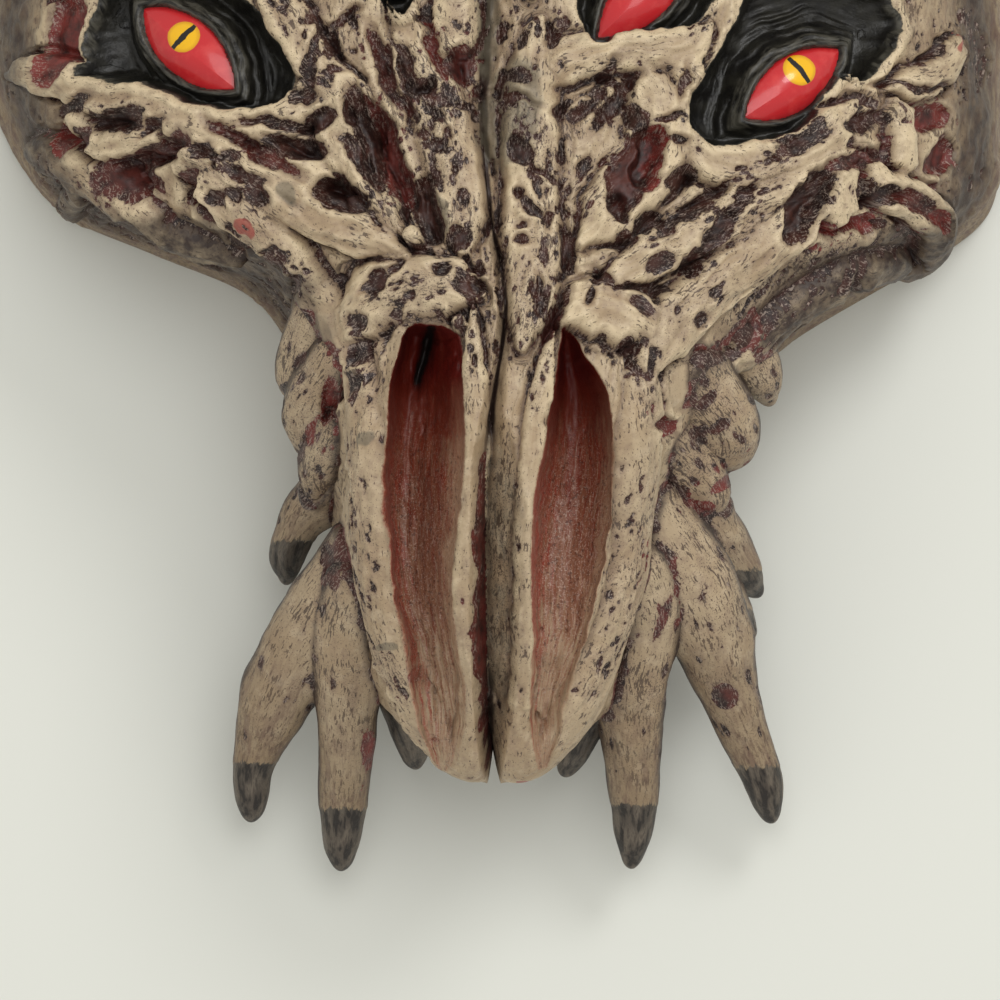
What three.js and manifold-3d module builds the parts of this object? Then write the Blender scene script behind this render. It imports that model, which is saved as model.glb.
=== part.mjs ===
// A demon mask, cast hollow in resin and lying on its flat back rim with the face up.
// Millimetres, +Z out of the face, +Y towards the forehead, origin under the middle of the bounding box.
import * as THREE from 'three';
import { mergeVertices } from 'three/addons/utils/BufferGeometryUtils.js';
import Module from 'manifold-3d';

const wasm = await Module();
wasm.setup();

// Driving sizes of the casting.
const WALL = 5;             // thickness of the cast wall
const RIM_DROP = 4;         // how far the cavity tool reaches below the rim, so that it opens the back
const FACE_NET = [24, 33];  // facets across the face and along it
const CAVITY_NET = [12, 20];
const NET_CROWDING = 1.25;  // how much closer together the facets lie over the crown than at the rim
const BAR_CAP = 0.6;        // how far a bar's end stands out, as a share of its half width

// Ribs across the face, from the top of the head over the brow and the double snout, and back under
// the snout to the chin: crown y, crown z, half width left, half width right, rim y, squareness.
const RIBS = [
  [175, 0, 0, 0, 175, 2.0],
  [173, 20, 34, 34, 173, 2.0],
  [166, 36, 61, 61, 166, 2.0],
  [152, 51, 86, 86, 152, 2.1],
  [130, 64, 105, 105, 130, 2.2],
  [100, 75, 118, 118, 100, 2.2],
  [70, 82, 125, 125, 70, 2.3],
  [42, 87, 127, 127, 42, 2.3],
  [22, 90, 126, 127, 22, 2.3],
  [4, 93, 121, 126, 4, 2.3],
  [-10, 96, 110, 123, -10, 2.3],
  [-20, 99, 90, 114, -20, 2.3],
  [-30, 102, 66, 96, -30, 2.3],
  [-42, 105, 53, 76, -42, 2.6],
  [-56, 107, 46, 60, -55, 3.0],
  [-70, 107, 43, 50, -67, 3.3],
  [-84, 106, 42, 45, -78, 3.4],
  [-98, 103, 41, 42, -88, 3.4],
  [-112, 98, 38.5, 39.5, -96, 3.4],
  [-126, 90, 36.5, 37.5, -103, 3.2],
  [-139, 81, 34, 35, -109, 3.0],
  [-149, 70, 29.5, 30.5, -115, 2.6],
  [-154, 56, 24, 25, -119, 2.2],
  [-152, 42, 18, 18, -118, 2.0],
  [-142, 28, 12, 12, -116, 2.0],
  [-128, 12, 6, 6, -114, 2.0],
  [-113, 0, 0, 0, -113, 2.0],
];

// Eye sockets: centre, half length, half width and turn of the bowl, then centre and turn of the eye.
const SOCKET_DEPTH = 15;
const SOCKETS = [
  { at: [-76, 29], half: [27, 14.5], turn: -26, eyeAt: [-77.5, 29.5], eyeTurn: -45 },
  { at: [75.5, 21.5], half: [28, 15], turn: 28, eyeAt: [76.8, 21.5], eyeTurn: 40 },
  { at: [-38, 54], half: [23, 14], turn: -42, eyeAt: [-36.5, 52], eyeTurn: -43 },
  { at: [39.5, 46], half: [23, 14], turn: 40, eyeAt: [38, 44], eyeTurn: 42 },
];
// The eye and the lid around it: above is the height of its centre over the floor of the socket.
const EYE = { facets: [9, 5], half: [16, 8.5], thick: 7.5, above: 3.2 };
const LID = { facets: [9, 4], half: [20.5, 12], thick: 6, above: 1 };

// Pits between the tendons: centre, half length and half width, turn, depth.
const PITS = [
  { at: [-28, 6], half: [13, 4.6], turn: -69, deep: 9 },
  { at: [-78, -4], half: [10, 4], turn: -80, deep: 6 },
  { at: [-101, -9], half: [8, 4.5], turn: -50, deep: 5 },
  { at: [34, -1], half: [15, 6.5], turn: 61, deep: 7 },
  { at: [90, -15], half: [8, 3.6], turn: 5, deep: 5 },
  { at: [60, -31], half: [12, 4], turn: 42, deep: 7 },
  { at: [112, 12], half: [7, 3.6], turn: -10, deep: 5 },
];

// Nostrils, leaf-shaped troughs down the snout: x, y, half width, depth.
const NOSTRILS = [
  [[-14, -39, 3.5, 12], [-16, -50, 9, 24], [-17, -66, 10.8, 27], [-17, -84, 11, 24], [-17, -102, 10.4, 18],
    [-16, -118, 9.4, 13], [-13.5, -131, 8, 8], [-10, -142, 5.5, 4.5], [-6, -150, 2.5, 2]],
  [[19, -41, 3, 12], [20.5, -52, 7.5, 22], [21.5, -68, 10.4, 26], [20.5, -84, 11, 24], [19.5, -100, 11, 18],
    [18, -114, 9.8, 13], [15, -127, 8, 8], [11, -138, 5.5, 4.5], [7, -147, 2.5, 2]],
];

// The cleft between the two halves of the face: x, y, height over the rim, half width, depth.
const CLEFT = [
  [0, 132, 64, 2, 2], [0, 100, 75, 2.6, 4], [-1, 50, 86, 3, 6], [1, 10, 92, 2.8, 6], [2, -35, 103, 2.4, 6],
  [1, -62, 107, 3, 10], [-1, -84, 106, 4.2, 14], [-2, -110, 99, 4.2, 15], [-1.5, -136, 83, 4, 15],
  [-0.8, -150.5, 69, 3.2, 11], [-0.6, -155.5, 55, 3, 8], [-0.6, -153, 41, 3, 6],
];

const BAND_FLATNESS = 1.35; // width of a tendon over its depth

// Tendons and bone bands that stand on the face: height, radius, then the x, y places each runs through.
const TENDONS = [
  [2.6, 4.2, [-124, 24], [-109, 20], [-92, 12], [-78, 10], [-66, 9], [-54, 13], [-42, 17]],
  [3.2, 5.2, [-80, 10], [-68, 4], [-56, -4], [-44, -11], [-32, -17], [-22, -21]],
  [3.4, 5.4, [-80, 2], [-70, -6], [-59, -15], [-49, -25], [-41, -36], [-37, -48]],
  [3.2, 4.8, [-119, 6], [-108, 1], [-98, -5], [-90, -12], [-78, -18], [-64, -24]],
  [3.6, 6.0, [-38, -42], [-34.5, -58], [-35, -76], [-34, -94], [-31, -109], [-26, -122], [-17, -133]],
  [3.2, 5.0, [-38, -40], [-31, -31], [-22, -27], [-13, -25], [-5, -29]],
  [2.4, 2.6, [-5.5, -34], [-4.8, -62], [-6, -86], [-7, -108], [-6, -128]],
  [2.6, 5.4, [-24, 38], [-16, 24], [-11, 8], [-8, -6], [-7, -20]],
  [3.0, 4.2, [-60, 47], [-51, 36], [-45, 26], [-38, 18], [-34, 4], [-28, -8], [-23, -16]],
  [3.2, 4.2, [10, 22], [20, 28], [34, 31], [47, 31], [56, 38]],
  [2.8, 6.6, [37, 26], [42, 15], [40, 2], [31, -8], [22, -18]],
  [3.2, 4.6, [47, 12], [53, 4], [63, 1], [76, 3], [87, 9], [96, 18]],
  [3.0, 4.8, [94, 4], [81, -1], [68, -7], [54, -14], [40, -21], [27, -28]],
  [3.8, 5.8, [82, -6], [75, -13], [65, -22], [52, -32], [43, -42], [38, -52]],
  [3.4, 5.4, [104, -24], [90, -27], [79, -33], [68, -41], [57, -50]],
  [3.4, 4.4, [94, 4], [98, -4], [106, -8], [112, -14], [109, -22], [101, -25]],
  [3.6, 6.0, [40, -42], [39.5, -56], [39, -72], [37.5, -88], [34, -105], [28, -120], [18, -132]],
  [3.0, 4.8, [40, -40], [32, -33], [24, -32], [17, -36]],
  [2.6, 2.8, [15, -40], [11.5, -54], [8.5, -72], [7, -90], [6, -110], [5, -130]],
  [2.6, 5.4, [9, 37], [7.5, 16], [8.5, -6], [9, -26], [7, -44]],
  [2.6, 5.0, [-98, 54], [-70, 56], [-42, 74], [-16, 78]],
  [2.6, 5.0, [100, 48], [70, 49], [42, 66], [16, 74]],
];

// Claws, knuckles and short lobes beside the snout: x, y, z and radius along each one.
const CLAWS = [
  [[-32, -96, 60, 10], [-41, -108, 52, 11], [-48.5, -119, 44, 10.2], [-55.2, -132.5, 34, 9.4],
    [-60, -147.5, 24, 6.8], [-62, -158, 17, 4]],
  [[-33, -104, 66, 9], [-36, -116, 57, 9], [-37, -130, 47, 8.2], [-37.2, -143, 37, 7.6],
    [-37.3, -159, 25, 6.5], [-37.5, -172.7, 17, 4.4]],
  [[-26, -122, 46, 5.5], [-22.5, -136, 35, 5.6], [-20.5, -147, 26, 5]],
  [[-36, -74, 52, 7], [-46, -84, 40, 6.4], [-52, -94, 31, 5.2], [-52.8, -101.5, 24, 3.4]],
  [[36, -84, 64, 10], [46.5, -99, 55, 11.5], [54, -115, 45, 10.8], [60.5, -132.5, 34, 8.7],
    [66, -149, 23, 6.2], [68.8, -159.5, 16, 3.8]],
  [[34, -99, 68, 9], [37.5, -112, 58, 9], [35.5, -126, 48, 8.4], [34.4, -140, 38, 7.8],
    [35.2, -157, 26, 6.4], [34.7, -172.7, 17, 4.2]],
  [[28, -122, 46, 5.8], [23, -136, 35, 5.8], [18.6, -149, 26, 4.8]],
  [[42, -76, 58, 9], [52, -87.5, 46, 8.4], [59.5, -97, 36, 6.6], [65.4, -104.6, 27, 4]],
  [[46, -94, 52, 7.5], [57, -107, 38, 5.8], [63.6, -115.5, 27, 3.8]],
  [[56, -38, 68, 8], [65, -49, 57, 6.6], [68.4, -56, 49, 4.2]],
  [[46, -48, 78, 9], [56, -60, 66, 9], [58.8, -67, 56, 7.8], [57, -73, 49, 5]],
  [[42, -66, 72, 7.5], [52.5, -78, 58, 6.2], [54.6, -84, 50, 4]],
  [[-44, -36, 72, 7], [-49.6, -49, 60, 5.6], [-50, -56, 52, 4]],
  [[-38, -46, 78, 7], [-46.4, -58, 64, 6.6], [-47.4, -68, 54, 4.8]],
  [[-38, -64, 68, 6.5], [-44, -74, 56, 5], [-45, -80.5, 49, 3.4]],
];

const X = new THREE.Vector3(1, 0, 0);
const Z = new THREE.Vector3(0, 0, 1);
const curveOf = (points) => new THREE.CatmullRomCurve3(points, false, 'catmullrom');

// The crown holds squareness, y and z, and the rim holds left half width, y and right half width.
function formOf(ribs) {
  const crown = curveOf(ribs.map(([y, z, , , , square]) => new THREE.Vector3(square, y, z)));
  const rim = curveOf(ribs.map(([, , left, right, y]) => new THREE.Vector3(left, y, right)));
  return { crown, rim };
}

// A point on a form: v runs along the ribs, and turn goes from the right rim over to the left.
function ribPoint({ crown, rim }, v, turn) {
  const top = crown.getPoint(v);
  const foot = rim.getPoint(v);
  const side = Math.cos(turn);
  const up = Math.sin(turn) ** (2 / top.x);
  const half = Math.max(0, side > 0 ? foot.z : foot.x);
  const out = Math.sign(side) * Math.abs(side) ** (2 / top.x) * half;
  return new THREE.Vector3(out, foot.y + (top.y - foot.y) * up, Math.max(0, top.z) * up);
}

// A profile of [a, b] points moved sideways by the wall, by the directions of its neighbours.
function insetProfile(points, wall) {
  return points.map(([a, b], i) => {
    const [pa, pb] = points[Math.max(0, i - 1)];
    const [na, nb] = points[Math.min(points.length - 1, i + 1)];
    const long = Math.hypot(na - pa, nb - pb);
    return [a + ((nb - pb) / long) * wall, b - ((na - pa) / long) * wall];
  });
}

function insetRibs(ribs, wall) {
  const crown = insetProfile(ribs.map(([y, z]) => [y, z]), -wall);
  const rim = insetProfile(ribs.map(([, , left, right, y]) => [(left + right) / 2, y]), wall);
  return ribs.map(([, z, left, right, , square], i) => {
    const narrower = (left + right) / 2 - rim[i][0];
    if (z === 0) return [rim[i][1], 0, 0, 0, rim[i][1], square];
    return [...crown[i], left - narrower, right - narrower, rim[i][1], square];
  });
}

// A closed half form: a sphere's net whose front is laid over the ribs and whose back is the flat base.
function halfForm(form, [across, along], baseZ) {
  const baseFacets = 4;
  const net = new THREE.SphereGeometry(1, across + baseFacets, along);
  const { uv, position } = net.attributes;
  for (let i = 0; i < position.count; i += 1) {
    const row = Math.round((1 - uv.getY(i)) * along);
    const v = form.crown.getUtoTmapping(row / along);
    const column = i % (across + baseFacets + 1);
    const share = column / across;
    const side = 2 * share - 1;
    const turn = (Math.PI / 2) * (1 + Math.sign(side) * Math.min(1, Math.abs(side)) ** NET_CROWDING);
    const p = ribPoint(form, v, turn);
    if (share > 1) p.lerp(ribPoint(form, v, 0), (column - across) / baseFacets);
    if (share >= 1 || share <= 0 || p.z < 1e-3) p.z = baseZ;
    position.setXYZ(i, p.x, p.y, p.z);
  }
  return net;
}

// Height of the plain face over a place in plan.
function faceHeight(x, y) {
  let [high, low] = [0, 0.85];
  let z = 0;
  for (let i = 0; i < 24; i += 1) {
    const v = (high + low) / 2;
    const top = FACE.crown.getPoint(v);
    const foot = FACE.rim.getPoint(v);
    const half = Math.max(1e-6, x > 0 ? foot.z : foot.x);
    const up = Math.max(0, 1 - Math.min(1, Math.abs(x) / half) ** top.x) ** (1 / top.x);
    z = Math.max(0, top.z) * up;
    if (foot.y + (top.y - foot.y) * up > y) high = v;
    else low = v;
  }
  return z;
}

// A place on the plain face with the direction that it faces.
function facePlace(x, y) {
  const step = 2;
  const slopeX = (faceHeight(x + step, y) - faceHeight(x - step, y)) / (2 * step);
  const slopeY = (faceHeight(x, y + step) - faceHeight(x, y - step)) / (2 * step);
  const out = new THREE.Vector3(-slopeX, -slopeY, 1).normalize();
  return { at: new THREE.Vector3(x, y, faceHeight(x, y)), out };
}

// A closed bar bent along a curve. The section at t gives its half width and half depth.
function bentBar(curve, sectionAt, sides, rings, acrossAt) {
  const profile = [new THREE.Vector2(0, 0)];
  for (let i = 0; i <= rings; i += 1) profile.push(new THREE.Vector2(1, i / rings));
  profile.push(new THREE.Vector2(0, 1));
  const bar = new THREE.LatheGeometry(profile, sides);
  const { position } = bar.attributes;
  for (let i = 0; i < position.count; i += 1) {
    const [a, t, b] = [position.getX(i), position.getY(i), position.getZ(i)];
    const [wide, deep] = sectionAt(t);
    const ahead = curve.getTangent(t);
    const side = acrossAt(t, ahead);
    const above = new THREE.Vector3().crossVectors(side, ahead).normalize();
    const p = curve.getPoint(t).addScaledVector(side, a * wide).addScaledVector(above, b * deep);
    const onAxis = Math.hypot(a, b) < 1e-6;
    if (onAxis) p.addScaledVector(ahead, Math.sign(t - 0.5) * BAR_CAP * Math.min(wide, deep));
    position.setXYZ(i, p.x, p.y, p.z);
  }
  return bar;
}

// Values at t along rows that are evenly spread from 0 to 1.
function rowAt(rows, t) {
  const i = Math.min(rows.length - 2, Math.floor(t * (rows.length - 1)));
  const share = t * (rows.length - 1) - i;
  return rows[i].map((value, k) => value + (rows[i + 1][k] - value) * share);
}

const levelAcross = (t, ahead) => new THREE.Vector3().crossVectors(ahead, Z).normalize();

function claw(stops) {
  const curve = curveOf(stops.map(([x, y, z]) => new THREE.Vector3(x, y, z)));
  const section = (t) => Array(2).fill(rowAt(stops, t)[3]);
  return bentBar(curve, section, stops.length > 4 ? 7 : 6, stops.length, levelAcross);
}

function tendon([height, radius, ...run]) {
  const plan = curveOf(run.map(([x, y]) => new THREE.Vector3(x, y, 0)));
  const rings = run.length - 1;
  const taper = (t) => Math.min(1, 0.4 + 3.2 * t * (1 - t));
  const places = plan.getPoints(rings).map(({ x, y }, i) => {
    const { at, out } = facePlace(x, y);
    return { out, centre: at.addScaledVector(out, (height - radius) * taper(i / rings)) };
  });
  const curve = curveOf(places.map(({ centre }) => centre));
  const across = (t, ahead) => new THREE.Vector3().crossVectors(ahead, places[Math.round(t * rings)].out).normalize();
  const section = (t) => [radius * BAND_FLATNESS * taper(t), radius * taper(t)];
  return bentBar(curve, section, 5, rings, across);
}

function nostril(rows, grown) {
  const curve = curveOf(rows.map(([x, y]) => new THREE.Vector3(x, y, faceHeight(x, y))));
  const section = (t) => rowAt(rows, t).slice(2).map((size) => size + grown);
  return bentBar(curve, section, grown ? 6 : 9, rows.length - 1, levelAcross);
}

function cleft(grown) {
  const curve = curveOf(CLEFT.map(([x, y, z]) => new THREE.Vector3(x, y, z)));
  const section = (t) => rowAt(CLEFT, t).slice(3).map((size) => size + grown);
  const across = (t, ahead) => X.clone().addScaledVector(ahead, -ahead.x).normalize();
  return bentBar(curve, section, 6, CLEFT.length - 1, across);
}

// A bowl or a lens set square to the face. A lens narrows by a third towards both ends, as an eye does.
function setOnFace(facets, [x, y], [long, short], deep, turn, lift = 0, pointed = false) {
  const ball = new THREE.SphereGeometry(1, ...facets);
  const { position } = ball.attributes;
  for (let i = 0; i < position.count; i += 1) {
    const narrow = pointed ? 1 - Math.abs(position.getX(i)) / 3 : 1;
    position.setY(i, position.getY(i) * narrow);
  }
  const { at, out } = facePlace(x, y);
  ball.scale(long, short, deep);
  ball.rotateZ(THREE.MathUtils.degToRad(turn));
  ball.applyQuaternion(new THREE.Quaternion().setFromUnitVectors(Z, out));
  const centre = at.addScaledVector(out, lift);
  ball.translate(centre.x, centre.y, centre.z);
  return ball;
}

function socket({ at, half: [long, short], turn }, grown) {
  return setOnFace(grown ? [9, 4] : [13, 6], at, [long + grown, short + grown], SOCKET_DEPTH + grown, turn);
}

function pit({ at, half: [long, short], deep, turn }, grown) {
  return setOnFace(grown ? [6, 4] : [8, 4], at, [long + grown, short + grown], deep + grown, turn);
}

function lens({ eyeAt, eyeTurn }, { facets, half, thick, above }) {
  return setOnFace(facets, eyeAt, half, thick, eyeTurn, above - SOCKET_DEPTH, true);
}

// A closed net as a solid: shared corners merged, empty facets dropped and the facets turned outwards.
function toSolid(geometry) {
  geometry.deleteAttribute('normal');
  geometry.deleteAttribute('uv');
  const merged = mergeVertices(geometry, 1e-4);
  const corners = merged.attributes.position;
  const [a, b, c] = [new THREE.Vector3(), new THREE.Vector3(), new THREE.Vector3()];
  const facets = [];
  let volume = 0;
  for (let i = 0; i < merged.index.count; i += 3) {
    const [ia, ib, ic] = [0, 1, 2].map((k) => merged.index.getX(i + k));
    if (ia === ib || ib === ic || ic === ia) continue;
    a.fromBufferAttribute(corners, ia);
    b.fromBufferAttribute(corners, ib);
    c.fromBufferAttribute(corners, ic);
    volume += a.dot(b.cross(c));
    facets.push([ia, ib, ic]);
  }
  const outward = volume > 0 ? facets : facets.map(([ia, ib, ic]) => [ia, ic, ib]);
  const vertProperties = new Float32Array(corners.array);
  return new wasm.Manifold(new wasm.Mesh({ numProp: 3, vertProperties, triVerts: new Uint32Array(outward.flat()) }));
}

function toGeometry(solid) {
  const mesh = solid.getMesh();
  const geometry = new THREE.BufferGeometry();
  geometry.setAttribute('position', new THREE.BufferAttribute(Float32Array.from(mesh.vertProperties), 3));
  geometry.setIndex(new THREE.BufferAttribute(Uint32Array.from(mesh.triVerts), 1));
  geometry.computeVertexNormals();
  return geometry;
}

const FACE = formOf(RIBS);

function maskSolid() {
  let casting = toSolid(halfForm(FACE, FACE_NET, 0));
  for (const run of TENDONS) casting = casting.add(toSolid(tendon(run)));
  for (const stops of CLAWS) casting = casting.add(toSolid(claw(stops)));
  let cavity = toSolid(halfForm(formOf(insetRibs(RIBS, WALL)), CAVITY_NET, -RIM_DROP));
  for (const s of SOCKETS) {
    casting = casting.subtract(toSolid(socket(s, 0)));
    cavity = cavity.subtract(toSolid(socket(s, WALL)));
  }
  for (const rows of NOSTRILS) {
    casting = casting.subtract(toSolid(nostril(rows, 0)));
    cavity = cavity.subtract(toSolid(nostril(rows, WALL)));
  }
  for (const hollow of PITS) {
    casting = casting.subtract(toSolid(pit(hollow, 0)));
    cavity = cavity.subtract(toSolid(pit(hollow, WALL)));
  }
  casting = casting.subtract(toSolid(cleft(0)));
  cavity = cavity.subtract(toSolid(cleft(WALL)));
  for (const s of SOCKETS) casting = casting.add(toSolid(lens(s, LID))).add(toSolid(lens(s, EYE)));
  const ground = new THREE.BoxGeometry(400, 500, 40).translate(0, 0, -20); // all below the flat back rim
  return casting.subtract(cavity).subtract(toSolid(ground));
}

const paint = new THREE.MeshStandardMaterial({ color: 0xb8a583, roughness: 0.5, metalness: 0 });
const mask = new THREE.Mesh(toGeometry(maskSolid()), paint);
mask.name = 'mask';

const part = new THREE.Group();
part.add(mask);
export default part;
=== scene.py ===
# The looks of a demon mask: a hollow resin casting, painted as bone, lying on its flat back rim.
# Tables are in millimetres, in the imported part's frame: +X right, +Y to the forehead, +Z out of the face.
import math

import bpy
import bmesh
import numpy as np
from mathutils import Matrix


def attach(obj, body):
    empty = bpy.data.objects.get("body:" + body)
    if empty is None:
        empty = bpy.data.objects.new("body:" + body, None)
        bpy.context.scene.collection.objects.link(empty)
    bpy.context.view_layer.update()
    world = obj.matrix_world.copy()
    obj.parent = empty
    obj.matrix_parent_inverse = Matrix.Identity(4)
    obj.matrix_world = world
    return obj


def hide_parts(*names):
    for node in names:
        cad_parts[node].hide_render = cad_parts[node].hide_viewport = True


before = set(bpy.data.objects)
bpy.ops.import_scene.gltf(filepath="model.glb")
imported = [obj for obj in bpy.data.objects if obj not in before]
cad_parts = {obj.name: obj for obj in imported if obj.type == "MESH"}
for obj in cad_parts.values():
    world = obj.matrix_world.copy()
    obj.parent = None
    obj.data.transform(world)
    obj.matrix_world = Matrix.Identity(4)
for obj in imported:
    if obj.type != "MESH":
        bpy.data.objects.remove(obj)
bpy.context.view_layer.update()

# The photograph's view: straight down on the mask, through a long lens.
# 250 mm fill the picture at the height of the cheeks, and its middle lies over the snout.
MM = 0.001
VIEW_CENTRE = (1.25, -82.5)
VIEW_WIDTH = 250.0
VIEW_LEVEL = 70.0
SENSOR = 36.0
LENS = 500.0

camera_data = bpy.data.cameras.new("camera")
camera_data.sensor_width = SENSOR
camera_data.lens = LENS
camera_data.clip_end = 20.0
camera = bpy.data.objects.new("camera", camera_data)
camera_height = VIEW_LEVEL + VIEW_WIDTH * LENS / SENSOR
camera.location = (VIEW_CENTRE[0] * MM, VIEW_CENTRE[1] * MM, camera_height * MM)
bpy.context.scene.collection.objects.link(camera)
bpy.context.scene.camera = camera
bpy.context.scene.view_settings.view_transform = "Standard"


# The white table that the mask lies on: a laminate top, smooth and without a pattern, that shines a little.
# Soft light falls on it from round lamps overhead and from the pale room.
def linear(hex_colour):
    """Linear colour of an sRGB hex value, by the sRGB curve."""
    share = np.array([int(hex_colour[i:i + 2], 16) for i in (1, 3, 5)]) / 255
    curve = np.where(share <= 0.04045, share / 12.92, ((share + 0.055) / 1.055) ** 2.4)
    return (*curve.tolist(), 1.0)


def node(tree, kind, inputs=None, **settings):
    """Adds a node. Settings are its properties, and inputs are numbers, hex colours or outputs, by socket."""
    made = tree.nodes.new(kind)
    for name, value in settings.items():
        setattr(made, name, value)
    for name, value in (inputs or {}).items():
        if isinstance(value, bpy.types.NodeSocket):
            tree.links.new(value, made.inputs[name])
        else:
            made.inputs[name].default_value = linear(value) if isinstance(value, str) else value
    return made


def new_material(name):
    """An empty material with its node tree and its Principled shader, linked to the output."""
    material = bpy.data.materials.new(name)
    material.use_nodes = True
    tree = material.node_tree
    tree.nodes.clear()
    shader = node(tree, "ShaderNodeBsdfPrincipled")
    node(tree, "ShaderNodeOutputMaterial", {"Surface": shader.outputs["BSDF"]})
    return material, tree, shader


TABLE_HALF = 2500.0
table_mesh = bpy.data.meshes.new("table_top")
corners = [(x * TABLE_HALF * MM, y * TABLE_HALF * MM, 0) for x, y in ((-1, -1), (1, -1), (1, 1), (-1, 1))]
table_mesh.from_pydata(corners, [], [(0, 1, 2, 3)])
table_top = bpy.data.objects.new("table_top", table_mesh)
bpy.context.scene.collection.objects.link(table_top)
white_laminate, tree, shader = new_material("white_laminate")
shader.inputs["Base Color"].default_value = linear("#d9dad2")
shader.inputs["Roughness"].default_value = 0.5
table_mesh.materials.append(white_laminate)

world = bpy.data.worlds.new("studio")
world.use_nodes = True
world.node_tree.nodes["Background"].inputs["Color"].default_value = linear("#f4f3ef")
world.node_tree.nodes["Background"].inputs["Strength"].default_value = 0.82
bpy.context.scene.world = world
# Lamps: place in metres, width, power in watts.
LAMPS = {
    "lamp_window": ((0.7, 1.0, 1.3), 0.6, 8.5),
    "lamp_ceiling": ((0.1, 0.3, 1.3), 0.8, 4.6),
    "lamp_low": ((-0.3, -1.3, 0.9), 0.4, 0.3),
}
for name, (place, width, power) in LAMPS.items():
    lamp_data = bpy.data.lights.new(name, "AREA")
    lamp_data.shape = "DISK"
    lamp_data.size = width
    lamp_data.energy = power
    lamp = bpy.data.objects.new(name, lamp_data)
    lamp.location = place
    lamp.rotation_euler = (-lamp.location).to_track_quat("-Z", "Y").to_euler()
    bpy.context.scene.collection.objects.link(lamp)


# The face: one hollow resin casting, carved all over with bands of sinew, pits, sockets and nostrils.
# Its plain form stands on ribs laid across it, as the solid in the frame does, and the relief is raised and
# sunk from that. Four closed nets make it up, and meet down the cleft and across the root of the snout.
RIBS = np.array([
    # Crown y, crown z, half width left, half width right, rim y, squareness.
    (175, 0, 0, 0, 175, 2.0), (173, 20, 34, 34, 173, 2.0), (166, 36, 61, 61, 166, 2.0),
    (152, 51, 86, 86, 152, 2.1), (130, 64, 105, 105, 130, 2.2), (100, 75, 118, 118, 100, 2.2),
    (70, 82, 126, 126, 70, 2.3), (42, 87, 129, 129.5, 42, 2.3), (22, 90, 129, 129.5, 22, 2.3),
    (4, 93, 121.5, 129, 4, 2.3), (-10, 96, 109.5, 125.5, -10, 2.3), (-20, 99, 87, 114, -20, 2.3),
    (-30, 102, 63.5, 96, -30, 2.3), (-42, 105, 53, 76, -42, 2.6), (-56, 107, 46, 60, -55, 3.0),
    (-70, 107, 43, 50, -67, 3.3), (-84, 106, 42, 45, -78, 3.4), (-98, 103, 41, 42, -88, 3.4),
    (-112, 98, 38.5, 39.5, -96, 3.4), (-126, 90, 36.5, 37.5, -103, 3.2), (-139, 81, 34, 35, -109, 3.0),
    (-149, 70, 29.5, 30.5, -115, 2.6), (-154, 56, 24, 25, -119, 2.2), (-152, 42, 18, 18, -118, 2.0),
    (-142, 28, 12, 12, -116, 2.0), (-128, 12, 6, 6, -114, 2.0), (-113, 0, 0, 0, -113, 2.0),
], float)
WALL = 5.0             # thickness of the casting


def smooth_rows(rows, t):
    """A smooth curve through rows of numbers (Catmull-Rom), with t from 0 to 1 and the end rows mirrored."""
    rows = np.asarray(rows, float)
    padded = np.vstack([2 * rows[0] - rows[1], rows, 2 * rows[-1] - rows[-2]])
    place = np.clip(t, 0, 1) * (len(rows) - 1)
    i = np.minimum(place.astype(int), len(rows) - 2)
    s = (place - i)[..., None]
    p0, p1, p2, p3 = (padded[i + k] for k in range(4))
    bend = 3 * p1 - p0 - 3 * p2 + p3
    return 0.5 * (2 * p1 + (p2 - p0) * s + (2 * p0 - 5 * p1 + 4 * p2 - p3) * s ** 2 + bend * s ** 3)


def rib_point(v, turn, ribs=RIBS):
    """Points of the form: v runs along the ribs, and turn goes over each, from the right rim to the left."""
    rib = smooth_rows(ribs, v)
    side = np.cos(turn)
    half = np.maximum(0, np.where(side > 0, rib[..., 3], rib[..., 2]))
    up = np.maximum(0, np.sin(turn)) ** (2 / rib[..., 5])
    out = np.sign(side) * np.abs(side) ** (2 / rib[..., 5]) * half
    crown, rim = rib[..., 0], rib[..., 4]
    return np.stack([out, rim + (crown - rim) * up, np.maximum(0, rib[..., 1]) * up], -1)


LAST_V = 0.85          # past this the crown has turned under, and hides below the rest
HALVINGS = 22


def face_height(x, y):
    """Height of the plain face over places in plan: halves the range of v until its rib passes over y."""
    low, high = np.zeros(np.shape(x)), np.full(np.shape(x), LAST_V)
    for _ in range(HALVINGS):
        v = (low + high) / 2
        rib = smooth_rows(RIBS, v)
        half = np.maximum(1e-6, np.where(x > 0, rib[..., 3], rib[..., 2]))
        up = np.maximum(0, 1 - np.minimum(1, np.abs(x) / half) ** rib[..., 5]) ** (1 / rib[..., 5])
        beyond = rib[..., 4] + (rib[..., 0] - rib[..., 4]) * up > y
        low, high = np.where(beyond, v, low), np.where(beyond, high, v)
    return np.maximum(0, rib[..., 1]) * up


def step(low, high, value):
    """0 below low and 1 above high, with an even S between them."""
    share = np.clip((value - low) / (high - low), 0, 1)
    return share * share * (3 - 2 * share)


def join_high(a, b, width):
    """The higher of two surfaces, with the valley between them filled over a given width."""
    return np.maximum(a, b) + np.maximum(width - np.abs(a - b), 0) ** 2 / (4 * width)


def chance(cells, seed):
    """Repeatable random numbers from 0 to 1, one for each whole-number cell, by mixing their bits."""
    x, y, z = (cells[..., k].astype(np.int64) for k in range(3))
    mixed = (x * 73856093 ^ y * 19349663 ^ z * 83492791 ^ seed * 2654435761) & 0xFFFFFFFF
    mixed = ((mixed ^ (mixed >> 13)) * 1274126177) & 0xFFFFFFFF
    mixed = ((mixed ^ (mixed >> 15)) * 2246822519) & 0xFFFFFFFF
    return (mixed ^ (mixed >> 16)) / 2.0 ** 32


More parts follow.
